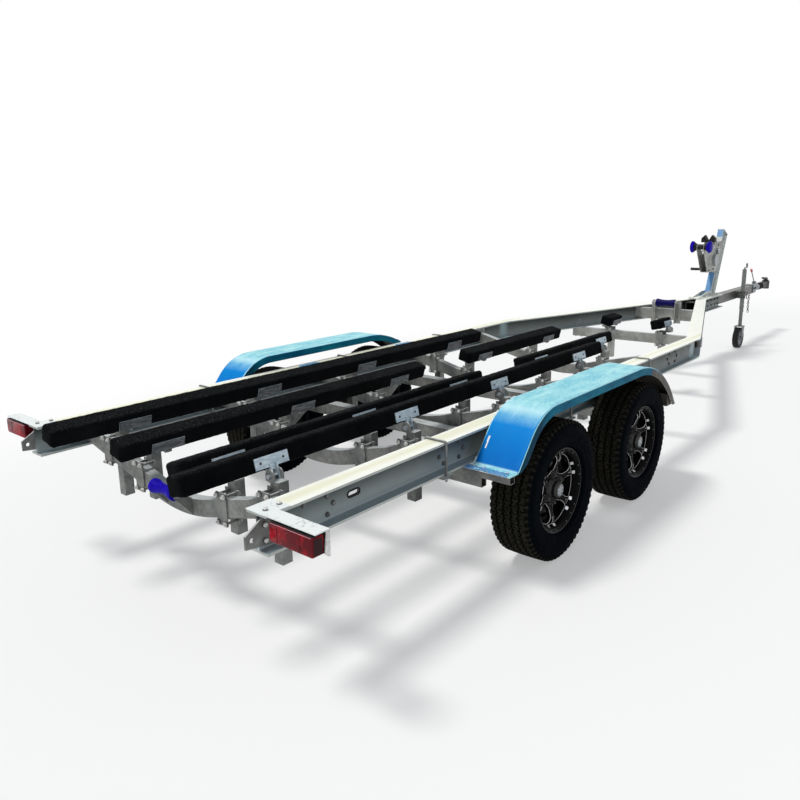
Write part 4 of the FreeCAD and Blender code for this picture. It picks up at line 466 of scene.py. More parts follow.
FINISHES = {
    "galvanised": galvanised(),
    "zinc": metal("bright_zinc", (0.40, 0.43, 0.46), 0.6),
    "machined": metal("machined", (0.80, 0.79, 0.77), 0.3),
    "chrome": metal("chrome", (0.72, 0.74, 0.76), 0.9),
    "dull_zinc": metal("dull_zinc", (0.15, 0.155, 0.15), 0.4),
    # Dark steel for the drawbar and jockey clamp, darker than the galvanised parts as painted shade.
    "shaded_dark_steel": metal("shaded_dark_steel", (0.095, 0.10, 0.092), 0.2),
    "cast_alloy": metal("cast_alloy", (0.25, 0.28, 0.30), 0.3),
    "aged_zinc": metal("aged_zinc", (0.21, 0.22, 0.22), 0.35),
    # Pale cyan on the rounded edges of the mudguard tops: a painted highlight.
    "guard_edge_highlight": paint("guard_edge_highlight", (0.33, 0.72, 0.80)),
    "plated": pressed_plate(),
    "dark_steel": two_tone("dark_steel", (0.07, 0.07, 0.07), (0.5, 0.5), (80, 3, 0, 1),
                           ((0.03, 0.03, 0.032), (0.09, 0.088, 0.08)), (300, 2, 0.0004, 0.3)),
    "rail": rail_film(),
    "guard": guard_film(),
    "torn_film": torn_film(),
    # Bare unfilmed aluminium, its dark grey-brown colour painted shade for where it lies inside and in front of the
    # mudguards.
    "bare": two_tone("bare_sheet", (0.10, 0.095, 0.085), (0.6, 0.3), (18, 5, 0.35, 0.7),
                     ((0.045, 0.042, 0.036), (0.12, 0.11, 0.095)), (120, 4, 0.001, 0.3)),
    "carpet": carpet(),
    "tyre": two_tone("tyre_rubber", (0.003, 0.004, 0.006), (0.7, 0.0, 0.012), (12, 4, 0, 1),
                     ((0.0006, 0.0013, 0.0026), (0.0016, 0.0028, 0.0045)), (240, 3, 0.0008, 0.35),
                     (35, 3, 0.6, 0.8)),
    "tread": two_tone("tread_rubber", (0.03, 0.028, 0.02), (0.85, 0.0, 0.03), (70, 5, 0.35, 0.7),
                      ((0.007, 0.0068, 0.005), (0.031, 0.029, 0.022)), (300, 3, 0.0008, 0.4)),
    "groove": rubber("groove_rubber", (0.0015, 0.0015, 0.0015), (0.003, 0.003, 0.003), 0.8, 0.05),
    "black_rubber": rubber("black_rubber", (0.004, 0.004, 0.0045), (0.011, 0.011, 0.012)),
    "blue_rubber": rubber("blue_rubber", (0.006, 0.001, 0.26), (0.014, 0.003, 0.46), 0.5, 0.06),
    # A darker copy of the blue rubber: painted shade on the front keel roller and the bow roller's inner cones.
    "shaded_blue_rubber": rubber("shaded_blue_rubber", (0.003, 0.002, 0.05), (0.006, 0.005, 0.13), 0.5, 0.1),
    "rim": two_tone("rim_paint", (0.003, 0.003, 0.004), (0.35, 0.0, 0.05), (25, 4, 0, 1),
                    ((0.0010, 0.0010, 0.0014), (0.003, 0.003, 0.004)), (500, 2, 0.0002, 0.15)),
    "cast": two_tone("cast_paint", (0.05, 0.05, 0.05), (0.5, 0.35), (30, 5, 0.35, 0.7),
                     ((0.02, 0.02, 0.021), (0.09, 0.09, 0.088)), (140, 4, 0.0015, 0.45)),
    "lens": lens_plastic("lens_plastic", (0.11, 0.001, 0.006), (0.36, 0.0, 0.010)),
    "lens_side": lens_plastic("lens_side", (0.022, 0.001, 0.003), (0.045, 0.001, 0.006)),
    # Pale strip along the lens's upper front edge: a painted highlight.
    "lens_edge_highlight": paint("lens_edge_highlight", (0.62, 0.34, 0.38)),
    "plate": white_plate(),
    "red_paint": paint("red_paint", (0.45, 0.01, 0.01)),
    "sky_film": paint("sky_film", (0.12, 0.31, 0.60)),
}

NODE_FINISHES = {
    "galvanised": ("bent_crossmembers", "crossmember_front", "crossmember_roller", "axle_rear", "axle_front",
                   "mudguard_mountings", "bunk_posts", "strap_eyes", "keel_bracket_rear", "keel_bracket_front",
                   "winch_bracket"),
    "rail": ("rail_left", "rail_right", "winch_post"),
    "shaded_dark_steel": ("drawbar", "jockey_clamp"),
    "plate": ("lamp_plates",),
    "plated": ("bunk_swivels",),
    "cast_alloy": ("coupling_housing",),
    "shaded_blue_rubber": ("keel_roller_front",),
    "zinc": ("winch_frame", "winch_drum", "winch_crank", "jockey_rim", "brake_lever"),
    "aged_zinc": ("jockey_tube", "jockey_leg", "jockey_fork"),
    "guard": ("mudguard_left", "mudguard_right"),
    "carpet": ("outer_bunks", "inner_rear_bunks", "inner_front_bunks", "front_pads"),
    "black_rubber": ("side_markers", "bow_stop", "coupling_bellows", "coupling_latch", "jockey_tyre"),
    "blue_rubber": ("keel_roller_rear", "bow_roller"),
    "cast": ("coupling_head",),
    "lens": ("tail_lamps",),
}
WHEEL_FINISHES = {"tyre": "tyre", "rim": "rim", "hub": "dark_steel"}


def finish_nodes():
    """Give every node of the frame its finish."""
    plan = {name: key for key, names in NODE_FINISHES.items() for name in names}
    for name, node in NODES.items():
        node.data.materials.clear()
        node.data.materials.append(FINISHES[plan.get(name) or WHEEL_FINISHES[name.split("_")[0]]])


# Mesh helpers

TUBE_MOUTH = 0.03
TUBE_CORNER = 0.005


def frame_of(axis):
    """Two directions square to an axis, and the axis."""
    axis = Vector(axis).normalized()
    side = axis.cross(UP if abs(axis.z) < 0.9 else Vector((1, 0, 0))).normalized()
    return side, axis.cross(side), axis


def circle(centre, side, other, radius, count, start=0.0):
    """Points round a centre, in the plane of two directions."""
    return [centre + (side * math.cos(t) + other * math.sin(t)) * radius
            for t in (start + 2 * math.pi * s / count for s in range(count))]


def rounded(half_w, half_h, corner, parts):
    """Rounded rectangle, counter-clockwise from its lower right corner."""
    points = []
    for sx, sy, first in ((1, -1, -90), (1, 1, 0), (-1, 1, 90), (-1, -1, 180)):
        for i in range(parts + 1):
            angle = math.radians(first + 90 * i / parts)
            points.append((sx * (half_w - corner) + corner * math.cos(angle),
                           sy * (half_h - corner) + corner * math.sin(angle)))
    return points


class Piece:
    """Points and faces gathered into one mesh, each face marked with a finish."""

    def __init__(self, name):
        self.name = name
        self.points, self.faces, self.marks, self.finishes = [], [], [], []

    def add(self, points, groups):
        """Points, and the faces between them, grouped by finish."""
        start = len(self.points)
        self.points += [tuple(p) for p in points]
        for finish, faces in groups.items():
            if finish not in self.finishes:
                self.finishes.append(finish)
            self.faces += [tuple(start + i for i in face) for face in faces]
            self.marks += [self.finishes.index(finish)] * len(faces)

    def loft(self, rings, finish, caps=True, wrap=False):
        """Skin over rings of equal length, with end caps or joined into a loop."""
        count = len(rings[0])
        faces = []
        for i in range(len(rings) if wrap else len(rings) - 1):
            low, high = i * count, (i + 1) % len(rings) * count
            for j in range(count):
                k = (j + 1) % count
                faces.append((low + j, low + k, high + k, high + j))
        if caps and not wrap:
            last = (len(rings) - 1) * count
            faces += [tuple(reversed(range(count))), tuple(range(last, last + count))]
        self.add([p for ring in rings for p in ring], {finish: faces})

    def lathe(self, profile, centre, axis, steps, finish, wrap=False):
        """Profile of (along, radius) turned about an axis."""
        side, other, along = frame_of(axis)
        centre = Vector(centre)
        self.loft([circle(centre + along * a, side, other, r, steps) for a, r in profile], finish, wrap=wrap)

    def tube(self, path, radius, steps, finish, closed=False):
        """Round bar along a path."""
        path = [Vector(p) for p in path]
        rings, side, count = [], None, len(path)
        for i, point in enumerate(path):
            if closed:
                after, before = path[(i + 1) % count], path[i - 1]
            else:
                after, before = path[min(i + 1, count - 1)], path[max(i - 1, 0)]
            ahead = (after - before).normalized()
            if side is None:
                side = frame_of(ahead)[0]
            side = (side - ahead * side.dot(ahead)).normalized()
            rings.append(circle(point, side, ahead.cross(side), radius, steps))
        self.loft(rings, finish, wrap=closed)

    def block(self, low, high, finish):
        """Box between two corners."""
        xs, ys, zs = (sorted(pair) for pair in zip(low, high))
        faces = [(0, 1, 3, 2), (4, 6, 7, 5), (0, 4, 5, 1), (2, 3, 7, 6), (0, 2, 6, 4), (1, 5, 7, 3)]
        self.add([(x, y, z) for x in xs for y in ys for z in zs], {finish: faces})

    def box_tube(self, start, end, half, wall, finish):
        """Rounded box tube between two places, closed at its start and open at its end."""
        start, end = Vector(start), Vector(end)
        along = (end - start).normalized()
        side = along.cross(UP).normalized()
        top = side.cross(along)

        def ring(place, shrink):
            outline = rounded(half[0] - shrink, half[1] - shrink, max(0.0005, TUBE_CORNER - shrink), 2)
            return [place + side * a + top * b for a, b in outline]

        floor = ring(end - along * TUBE_MOUTH, wall)
        self.loft([ring(start, 0), ring(end, 0), ring(end, wall)], finish, caps=False)
        self.loft([ring(end, wall), floor], "dark_steel", caps=False)
        self.add(ring(start, 0), {finish: [tuple(range(12))]})
        self.add(floor, {"dark_steel": [tuple(range(12))]})

    def bolt(self, place, axis, size, finish="zinc", thread=0.0, turn=0.3, washer=True):
        """Hexagon head standing on a surface; a thread may stand out of it.

        washer is False for none, True for one like the head, or the finish of one.
        """
        side, other, along = frame_of(axis)
        place = Vector(place)

        def ring(count, radius, height, angle=0.0):
            return circle(place + along * height, side, other, radius, count, angle)

        base = 0.0
        if washer:
            base = size * 0.22
            self.loft([ring(16, size * 1.18, -0.001), ring(16, size * 1.18, base * 0.8),
                       ring(16, size * 1.08, base)], finish if washer is True else washer)
        top = base + size * 0.72
        self.loft([ring(6, size, base - 0.0005, turn), ring(6, size, top - size * 0.14, turn),
                   ring(6, size * 0.84, top, turn)], finish)
        if thread:
            steps = max(2, int(thread / (size * 0.28)))
            self.loft([ring(10, size * (0.52 if s % 2 else 0.45), top + thread * s / steps)
                       for s in range(steps + 1)], finish)

    def finish(self, body, slot, replaces=(), smooth=30, weld=False):
        """Object of the mesh, attached to a body, in place of the nodes that it replaces. The slot argument is not
        used.
        """
        mesh = bpy.data.meshes.new(self.name)
        mesh.from_pydata(self.points, [], self.faces)
        for name in self.finishes:
            mesh.materials.append(FINISHES[name])
        mesh.polygons.foreach_set("material_index", self.marks)
        obj = add_object(self.name, mesh)
        work = bmesh.new()
        work.from_mesh(mesh)
        if weld:
            bmesh.ops.remove_doubles(work, verts=work.verts, dist=0.00001)
        bmesh.ops.recalc_face_normals(work, faces=work.faces)
        limit = math.radians(smooth)
        for edge in work.edges:
            edge.smooth = not (len(edge.link_faces) == 2 and edge.calc_face_angle(0) > limit)
        for face in work.faces:
            face.smooth = True
        work.to_mesh(mesh)
        work.free()
        if replaces:
            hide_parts(*replaces)
        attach(obj, body)
        return obj


def wave(value, seed):
    """Smooth repeatable noise of one value, from -1 to 1."""
    return (math.sin(value * 1.7 + seed * 5.1) + math.sin(value * 3.9 + seed * 2.3) * 0.6
            + math.sin(value * 8.3 + seed * 7.7) * 0.35) / 1.95


# Wheels

TYRE_RADIUS = 0.350
TREAD_HALF = 0.0865
WHEEL_Y = 1.0025
PITCHES = 62
PITCH_STEPS = (0.0, 0.05, 0.25, 0.45, 0.50, 0.55, 0.75, 0.95)
GROOVES = (-0.057, -0.0200, 0.0200, 0.057)
GROOVE_HALF = 0.0035
GROOVE_EDGE = 0.0012
GROOVE_DEPTH = 0.007
ZIGZAG = 0.0055
LUG_DROP = 0.0045
LUG_NARROW = 0.0018
SHOULDER_RADIUS = 0.325
WALL_PROFILE = ((0.0925, 0.3455), (0.0972, 0.3405), (0.1005, 0.3310), (0.1035, 0.3180), (0.1053, 0.3060),
                (0.1060, 0.3050), (0.1070, 0.3000), (0.1078, 0.2850), (0.1078, 0.2690), (0.1068, 0.2500),
                (0.1040, 0.2340), (0.1046, 0.2315), (0.1010, 0.2260), (0.0930, 0.2185), (0.0850, 0.2150),
                (0.0770, 0.2145))


def tyre_columns(phase):
    """Across places of the tread's lines at one place round the tyre, with a depth and a kind.

    Each item is (across, drop, kind); kind is the rib's number, or -1 inside a groove.
    """
    shift = ZIGZAG * (4 * phase - 1 if phase < 0.5 else 3 - 4 * phase)
    columns = [(-TREAD_HALF, 0.0, 0)]
    for index, groove in enumerate(GROOVES):
        lean = shift if index % 2 else -shift
        middle = groove + lean
        columns += [(middle - GROOVE_HALF - GROOVE_EDGE, 0.0, index), (middle - GROOVE_HALF, GROOVE_DEPTH, -1),
                    (middle + GROOVE_HALF, GROOVE_DEPTH, -1),
                    (middle + GROOVE_HALF + GROOVE_EDGE, 0.0, index + 1)]
        if index < len(GROOVES) - 1:
            columns.append(((middle + GROOVES[index + 1] - lean) / 2, 0.0, index + 1))
    columns.append((TREAD_HALF, 0.0, len(GROOVES)))
    return columns


def crown(across):
    """Radius of the tread at a place across it."""
    return TYRE_RADIUS - 0.0025 - 0.0018 * (across / TREAD_HALF) ** 2


def tyre_piece(tag, station, side):
    """Tyre with five zigzag ribs of blocks, shoulder lugs, plain walls and a bead."""
    piece = Piece("tyre_dress_" + tag)
    centre = Vector((station, side * WHEEL_Y, TYRE_RADIUS))
    points = []
    for pitch in range(PITCHES):
        for step, part in enumerate(PITCH_STEPS):
            angle = 2 * math.pi * (pitch + part) / PITCHES
            cos, sin = math.cos(angle), math.sin(angle)
            narrow, drop = (0.0, 0.0) if step in (1, 2, 3) else (LUG_NARROW, LUG_DROP)
            shoulder = [(across - narrow, radius - drop) if radius > SHOULDER_RADIUS else (across, radius)
                        for across, radius in WALL_PROFILE]
            ring = [(-across, radius) for across, radius in reversed(shoulder)]
            for across, sunk, kind in tyre_columns(part):
                cut = LUG_DROP if kind >= 0 and step == (4 if kind % 2 else 0) else 0.0
                ring.append((across, crown(across) - max(sunk, cut)))
            points += [centre + Vector((radius * cos, across, radius * sin)) for across, radius in ring + shoulder]
    kinds = [kind for _, _, kind in tyre_columns(0)]
    columns, wall = len(kinds), len(WALL_PROFILE)
    width, count = columns + 2 * wall, PITCHES * len(PITCH_STEPS)
    groups = {"tyre": [], "tread": [], "groove": []}
    for i in range(count):
        low, high = i * width, (i + 1) % count * width
        step = i % len(PITCH_STEPS)
        for j in range(width - 1):
            column = j - wall
            if column < -3 or column > columns + 2:
                finish = "tyre"
            elif column < 0 or column >= columns - 1:
                finish = "tread" if step in (1, 2) else "groove"
            else:
                sunk = kinds[column] < 0 or kinds[column + 1] < 0
                cut = step in ((3, 4) if kinds[column] % 2 else (7, 0))
                finish = "groove" if sunk or cut else "tread"
            groups[finish].append((low + j, low + j + 1, high + j + 1, high + j))
    piece.add(points, groups)
    piece.finish("wheel_" + tag, "tyre", ("tyre_" + tag,), smooth=50)


SPOKE_PAIRS = 6
SPOKE_TURN = -10
DISC_STOPS = ((0.050, 0.036), (0.088, 0.038), (0.100, 0.047), (0.150, 0.060), (0.186, 0.050))
WINDOW = ((0.177, -19), (0.150, -22), (0.128, -24.5), (0.104, -21), (0.088, -12), (0.0835, 0), (0.088, 12),
          (0.104, 21), (0.128, 24.5), (0.150, 22), (0.177, 19), (0.1785, 6), (0.1785, -6))
SPLIT = ((0.132, 0), (0.150, -3.2), (0.177, -6.0), (0.1785, 0), (0.177, 6.0), (0.150, 3.2))
BARREL = ((0.0875, 0.2110), (0.0880, 0.2085), (0.0865, 0.2062), (0.0795, 0.1945), (0.0700, 0.1880),
          (0.0480, 0.1850), (0.0140, 0.1690), (-0.0380, 0.1590), (-0.0560, 0.1830), (-0.0820, 0.1850),
          (-0.0870, 0.2060), (-0.0880, 0.2118), (-0.0765, 0.2118), (-0.0757, 0.1907), (-0.0520, 0.1907),
          (-0.0360, 0.1650), (0.0100, 0.1650), (0.0420, 0.1907), (0.0757, 0.1907), (0.0760, 0.2118),
          (0.0860, 0.2118))


def polar(radius, degrees):
    return (radius * math.cos(math.radians(degrees)), radius * math.sin(math.radians(degrees)))


def softened(outline, middle):
    """Clockwise outline of (radius, degrees) about a middle direction, with its corners rounded off."""
    points = [polar(radius, middle + degrees) for radius, degrees in outline]
    for _ in range(3):
        fresh = []
        for i, (x, y) in enumerate(points):
            u, v = points[(i + 1) % len(points)]
            fresh += [(0.75 * x + 0.25 * u, 0.75 * y + 0.25 * v), (0.25 * x + 0.75 * u, 0.25 * y + 0.75 * v)]
        points = fresh
    return points[::-1]


def dish(radius):
    """Outward place of the wheel disc's face at a radius."""
    for (r0, y0), (r1, y1) in zip(DISC_STOPS, DISC_STOPS[1:]):
        if radius <= r1:
            share = max(0.0, (radius - r0) / (r1 - r0))
            return y0 + (y1 - y0) * (share * share * (3 - 2 * share))
    return DISC_STOPS[-1][1]


def rim_disc_mesh():
    """Disc with large windows between split spokes, machined along the window edges."""
    outlines = [[polar(0.1855, 360 * i / 120) for i in range(120)],
                [polar(0.0525, -360 * i / 48) for i in range(48)]]
    for index in range(SPOKE_PAIRS):
        middle = index * 60 + SPOKE_TURN
        x, y = polar(0.070, middle + 30)
        hole = [(x + 0.0085 * math.cos(t), y - 0.0085 * math.sin(t))
                for t in (2 * math.pi * s / 16 for s in range(16))]
        outlines += [softened(WINDOW, middle), softened(SPLIT, middle + 30), hole]
    curve = bpy.data.curves.new("disc", "CURVE")
    curve.dimensions = "2D"
    curve.fill_mode = "BOTH"
    curve.extrude = 0.0085
    curve.bevel_depth = 0.0018
    curve.bevel_resolution = 1
    for outline in outlines:
        spline = curve.splines.new("POLY")
        spline.points.add(len(outline) - 1)
        for point, (x, y) in zip(spline.points, outline):
            point.co = (x, y, 0, 1)
        spline.use_cyclic_u = True
    holder = add_object("disc", curve)
    bpy.context.view_layer.update()
    mesh = bpy.data.meshes.new_from_object(holder)
    bpy.data.objects.remove(holder)
    work = bmesh.new()
    work.from_mesh(mesh)
    bmesh.ops.remove_doubles(work, verts=work.verts, dist=0.00002)
    long_edges = [e for e in work.edges if e.calc_length() > 0.02]
    bmesh.ops.subdivide_edges(work, edges=long_edges, cuts=2)
    bmesh.ops.triangulate(work, faces=[f for f in work.faces if len(f.verts) > 4])
    groups = {"rim": [], "machined": []}
    for face in work.faces:
        bright = 0.35 < face.normal.z < 0.985 and face.calc_center_median().length < 0.1795
        groups["machined" if bright else "rim"].append(tuple(v.index for v in face.verts))
    points = []
    for x, y, z in (vert.co for vert in work.verts):
        points.append((x, dish(math.hypot(x, y)) - 0.0103 + z, y))
    work.free()
    bpy.data.meshes.remove(mesh)
    return points, groups


def rim_piece(tag, station, side, disc):
    """Alloy wheel: barrel with lips, window disc, machined lip pads and a ring of fasteners."""
    piece = Piece("rim_dress_" + tag)
    centre = Vector((station, side * WHEEL_Y, TYRE_RADIUS))
    axis = Vector((0, side, 0))
    piece.lathe(BARREL, centre, axis, 144, "rim", wrap=True)
    piece.lathe(((0.0872, 0.2104), (0.0887, 0.2098), (0.0890, 0.2080), (0.0878, 0.2070)), centre, axis, 144,
                "dark_steel", wrap=True)
    points, groups = disc
    for finish, faces in groups.items():
        piece.add([centre + Vector((x, side * y, z)) for x, y, z in points], {finish: faces})
    for index in range(SPOKE_PAIRS):
        for shift in (-8.6, 8.6):
            angle = math.radians(index * 60 + SPOKE_TURN + 30 + shift)
            out = Vector((math.cos(angle), 0, math.sin(angle)))
            along = Vector((-math.sin(angle), 0, math.cos(angle)))
            rings = []
            for r, y, half in ((0.1775, 0.0545, 0.0075), (0.1835, 0.0600, 0.0090), (0.1925, 0.0745, 0.0085),
                               (0.1985, 0.0815, 0.0065)):
                rings.append([centre + out * r + along * a + axis * h
                              for a, h in ((half, y - 0.006), (half, y), (-half, y), (-half, y - 0.006))])
            piece.loft(rings, "chrome")
    for index in range(24):
        if index % 4 == 2:
            continue
        x, z = polar(1.0, index * 15 + 7.5)
        spot = centre + Vector((x * 0.2005, side * 0.0822, z * 0.2005))
        piece.bolt(spot, (-x * 0.45, side, -z * 0.45), 0.0032, "dull_zinc", washer=False)
    piece.finish("wheel_" + tag, "alloy_rim", ("rim_" + tag,), smooth=32)


def add_wheels():
    """Tyre, rim and hub cap of every wheel."""
    disc = rim_disc_mesh()
    for end, station in (("rear", at(0)), ("front", at(AXLE_SPACING))):
        for label, side in SIDES:
            tag = "%s_%s" % (end, label)
            tyre_piece(tag, station, side)
            rim_piece(tag, station, side, disc)
            cap = Piece("hub_cap_" + tag)
            centre = Vector((station, side * WHEEL_Y, TYRE_RADIUS))
            axis = (0, side, 0)
            cap.lathe(((0.0843, 0.0005), (0.0850, 0.012), (0.0848, 0.026), (0.0838, 0.031), (0.0800, 0.0345),
                       (0.0650, 0.0425), (0.0640, 0.0440), (0.0600, 0.0445), (0.0595, 0.0432)),
                      centre, axis, 48, "rim")
            cap.lathe(((0.0844, 0.0002), (0.0856, 0.0002), (0.0856, 0.0270), (0.0848, 0.0282)),
                      centre, axis, 48, "zinc")
            for first, radius, out, size, thread in ((0, 0.021, 0.0855, 0.0028, 0.0),
                                                     (30, 0.070, 0.0375, 0.0118, 0.010)):
                for index in range(6):
                    x, z = polar(radius, 60 * index + first)
                    cap.bolt(centre + Vector((x, side * out, z)), axis, size, "dark_steel", thread,
                             washer=thread > 0)
            cap.finish("wheel_" + tag, "hub_steel")


# Bunks

BUNK_HALF = (0.0498, 0.0408)
BUNK_TILT = math.radians(14)
BUNK_END = 0.018
OUTER_BUNK, INNER_BUNK, FRONT_PAD = (0.492, 0.750), (0.222, 0.695), (0.235, 0.665)


def bunk_ring():
    """Outline across a bearer, with points along its flats."""
    points = rounded(*BUNK_HALF, 0.013, 4)
    full = []
    for i, (x, y) in enumerate(points):
        u, v = points[(i + 1) % len(points)]
        extra = max(1, int(math.hypot(u - x, v - y) / 0.011))
        full += [(x + (u - x) * k / extra, y + (v - y) * k / extra) for k in range(extra)]
    return full


def bunk_place(y, z, tilt, across, up):
    """Place on a tilted bearer's section, from its middle."""
    return (y + across * math.cos(tilt) - up * math.sin(tilt), z + across * math.sin(tilt) + up * math.cos(tilt))


def bunk_run(piece, x_span, y, z, tilt, seed):
    """One carpet-wrapped bearer: slightly uneven nap, rounded and folded ends."""
    rng = random.Random(seed)
    base = bunk_ring()
    ends = [0.0, 0.0015, 0.005, 0.011, BUNK_END]
    length = x_span[1] - x_span[0]
    middle = int((length - 2 * BUNK_END) / 0.014)
    stations = ends + [BUNK_END + (length - 2 * BUNK_END) * i / middle for i in range(1, middle)]
    stations += [length - s for s in reversed(ends)]
    rings = []
    for s in stations:
        near_end = min(s, length - s)
        round_off = 0.021 * (1 - math.sqrt(max(0.0, 1 - (1 - min(near_end, 0.020) / 0.020) ** 2)))
        ring = []
        for across, up in base:
            reach = math.hypot(across, up)
            scale = 1.0 - round_off / reach
            nap = rng.uniform(-0.0008, 0.0010) if near_end > 0.001 else 0.0
            top = up > BUNK_HALF[1] * 0.9 or abs(across) > BUNK_HALF[0] * 0.9 and up > 0
            nap += 0.0006 * wave(s * 40 + across * 60, seed) * (1.0 if top else 0.5)
            jitter = rng.uniform(-0.001, 0.001) if 0.002 < near_end < length / 2 else 0.0
            spot = bunk_place(y, z, tilt, across * scale * (1 + nap / reach), up * scale * (1 + nap / reach))
            ring.append((x_span[0] + s + jitter, *spot))
        rings.append(ring)
    piece.loft(rings, "carpet")


def add_bunks():
    """Every carpeted bearer, as one piece for each node it stands for."""
    runs = (("outer_bunks", (-1.720, 1.600), OUTER_BUNK), ("inner_rear_bunks", (-1.555, 0.560), INNER_BUNK),
            ("inner_front_bunks", (1.050, 2.370), INNER_BUNK), ("front_pads", (3.350, 3.610), FRONT_PAD))
    for index, (node, span, (y, z)) in enumerate(runs):
        piece = Piece("carpeted_" + node)
        for _, side in SIDES:
            bunk_run(piece, [at(x) for x in span], side * y, z, side * BUNK_TILT, 11 * index + (side > 0))
        obj = piece.finish("root", "carpet", (node,), smooth=75)


# Mudguards

EDGE_OUTSIDE = ((0.0, GUARD_SKIRT), (0.0, 0.010), (0.0012, 0.0045), (0.004, 0.0012), (0.009, 0.0))
EDGE_INSIDE = ((0.0125, GUARD_THICK), (0.0065, 0.0062), (GUARD_THICK, 0.0125), (GUARD_THICK, GUARD_SKIRT))
TORN_X = at(-0.405)
FILM_SINK = 0.0004


def turned(arm, angle):
    """Flat direction turned by an angle."""
    cos, sin = math.cos(angle), math.sin(angle)
    return Vector((arm.x * cos - arm.y * sin, arm.x * sin + arm.y * cos))


def guard_path():
    """Upper face of a mudguard in side view: places with their outward direction."""
    samples = []

    def run(start, end):
        count = max(1, int((end - start).length / 0.045))
        normal = Vector((-(end - start).y, (end - start).x)).normalized()
        for i in range(1 if samples else 0, count + 1):
            samples.append((start.lerp(end, i / count), normal))

    points = [Vector(p) for p in GUARD_POINTS]
    place = points[0]
    for index, radius in enumerate(GUARD_RADII):
        before, corner, after = points[index:index + 3]
        ahead, beyond = (corner - before).normalized(), (after - corner).normalized()
        turn = abs(ahead.angle_signed(beyond))
        entry = corner - ahead * (radius * math.tan(turn / 2))
        run(place, entry)
        side = 1 if ahead.x * beyond.y - ahead.y * beyond.x > 0 else -1
        normal = Vector((-ahead.y, ahead.x))
        centre = entry + normal * radius * side
        steps = max(4, int(math.degrees(turn) / 3))
        for i in range(1, steps + 1):
            angle = side * turn * i / steps
            samples.append((centre + turned(entry - centre, angle), turned(normal, angle)))
        place = samples[-1][0]
    run(place, points[-1])
    return samples


def guard_section():
    """Outline across the sheet, as (across, depth): its outside from the inner edge, then its inside back."""
    inner, outer = GUARD_Y
    return ([(inner + y, depth) for y, depth in EDGE_OUTSIDE]
            + [(inner + (outer - inner) * k / 8, 0.0) for k in range(1, 8)]
            + [(outer - y, depth) for y, depth in reversed(EDGE_OUTSIDE)]
            + [(outer - y, depth) for y, depth in reversed(EDGE_INSIDE)]
            + [(inner + y, depth) for y, depth in EDGE_INSIDE])


def guard_piece(label, side):
    """Mudguard as one bent sheet: film outside, bare metal inside coloured dark as painted shade, bright rims, and a
    painted highlight along the rounded edges of the top.
    """
    outline = guard_section()
    rows = []
    for place, outward in guard_path():
        floors = (RAIL_BOTTOM, RAIL_BOTTOM if outward.x < 0.02 else GUARD_TOE_Z)
        limits = [min(max((place.y - floor) / max(outward.y, 0.05), GUARD_THICK), GUARD_SKIRT) for floor in floors]
        ring = []
        for index, (y, depth) in enumerate(outline):
            depth = min(depth, limits[0 if y < sum(GUARD_Y) / 2 else 1])
            sag = 0.0012 * wave(place.x * 9 + y * 31, 3 + side) if 4 < index < 12 else 0.0
            spot = place - outward * (depth - min(0.0, sag))
            ring.append((spot.x, side * y, spot.y))
        rows.append(ring)
    width = len(outline)
    groups = {"guard": [], "guard_edge_highlight": [], "bare": [], "machined": []}
    for i, row in enumerate(rows[:-1]):
        for j in range(width):
            k = (j + 1) % width
            if j == 15 and row[j][0] > at(0.98) or j == 14 and row[j][0] > at(1.12):
                finish = "bare"
            elif j < 16:
                # Faces 3 and 13 run along the rounded edges of the top and take a painted highlight.
                finish = "guard_edge_highlight" if j in (3, 13) else "guard"
            else:
                finish = "machined" if j in (16, width - 1) else "bare"
            groups[finish].append((i * width + j, i * width + k, (i + 1) * width + k, (i + 1) * width + j))
    last = (len(rows) - 1) * width
    groups["machined"] += [tuple(range(width)), tuple(range(last, last + width))]
    piece = Piece("guard_" + label)
    piece.add([p for row in rows for p in row], groups)
    piece.finish("root", "blue_film", ("mudguard_" + label,), smooth=40, weld=True)


def scrap(piece, centre, along, size, height, finish, seed):
    """Crumpled bit of film lying on a surface, its second side across the trailer."""
    rng = random.Random(seed)
    centre, along, across = Vector(centre), Vector(along).normalized(), Vector((0, 1, 0))
    up = along.cross(across).normalized()
    count = 9
    top, low = [], []
    for i in range(count):
        for j in range(count):
            u, v = i / (count - 1) * 2 - 1, j / (count - 1) * 2 - 1
            edge = max(abs(u), abs(v))
            fray = 1 + (0.16 * wave(math.atan2(v, u) * 2.2, seed) if edge > 0.7 else 0.0)
            lift = rng.uniform(0.15, 1.0) * (1 - 0.55 * edge)
            spot = centre + along * (u * size[0] / 2 * fray) + across * (v * size[1] / 2 * fray)
            spot += along * rng.uniform(-0.03, 0.03) * size[0] + across * rng.uniform(-0.03, 0.03) * size[1]
            top.append(spot + up * (0.0006 + height * lift))
            low.append(spot - up * FILM_SINK)
    faces = []
    half, last = count * count, count - 1
    for i in range(last):
        for j in range(last):
            a = i * count + j
            faces.append((a, a + count, a + count + 1, a + 1))
            faces.append((half + a, half + a + 1, half + a + count + 1, half + a + count))
    rim = ([i * count for i in range(count)] + [last * count + j for j in range(1, count)]
           + [i * count + last for i in range(last - 1, -1, -1)] + list(range(last - 1, 0, -1)))
    for a, b in zip(rim, rim[1:] + rim[:1]):
        faces.append((a, b, half + b, half + a))
    piece.add(top + low, {finish: faces})


def patch(piece, corners, facing, lift, finish):
    """Thin flat sheet laid on a face that looks along a direction."""
    if (corners[1] - corners[0]).cross(corners[2] - corners[1]).dot(facing) <= 0:
        corners = corners[::-1]
    up = (corners[1] - corners[0]).cross(corners[2] - corners[1]).normalized()
    piece.loft([[c - up * FILM_SINK for c in corners], [c + up * lift for c in corners]], finish)


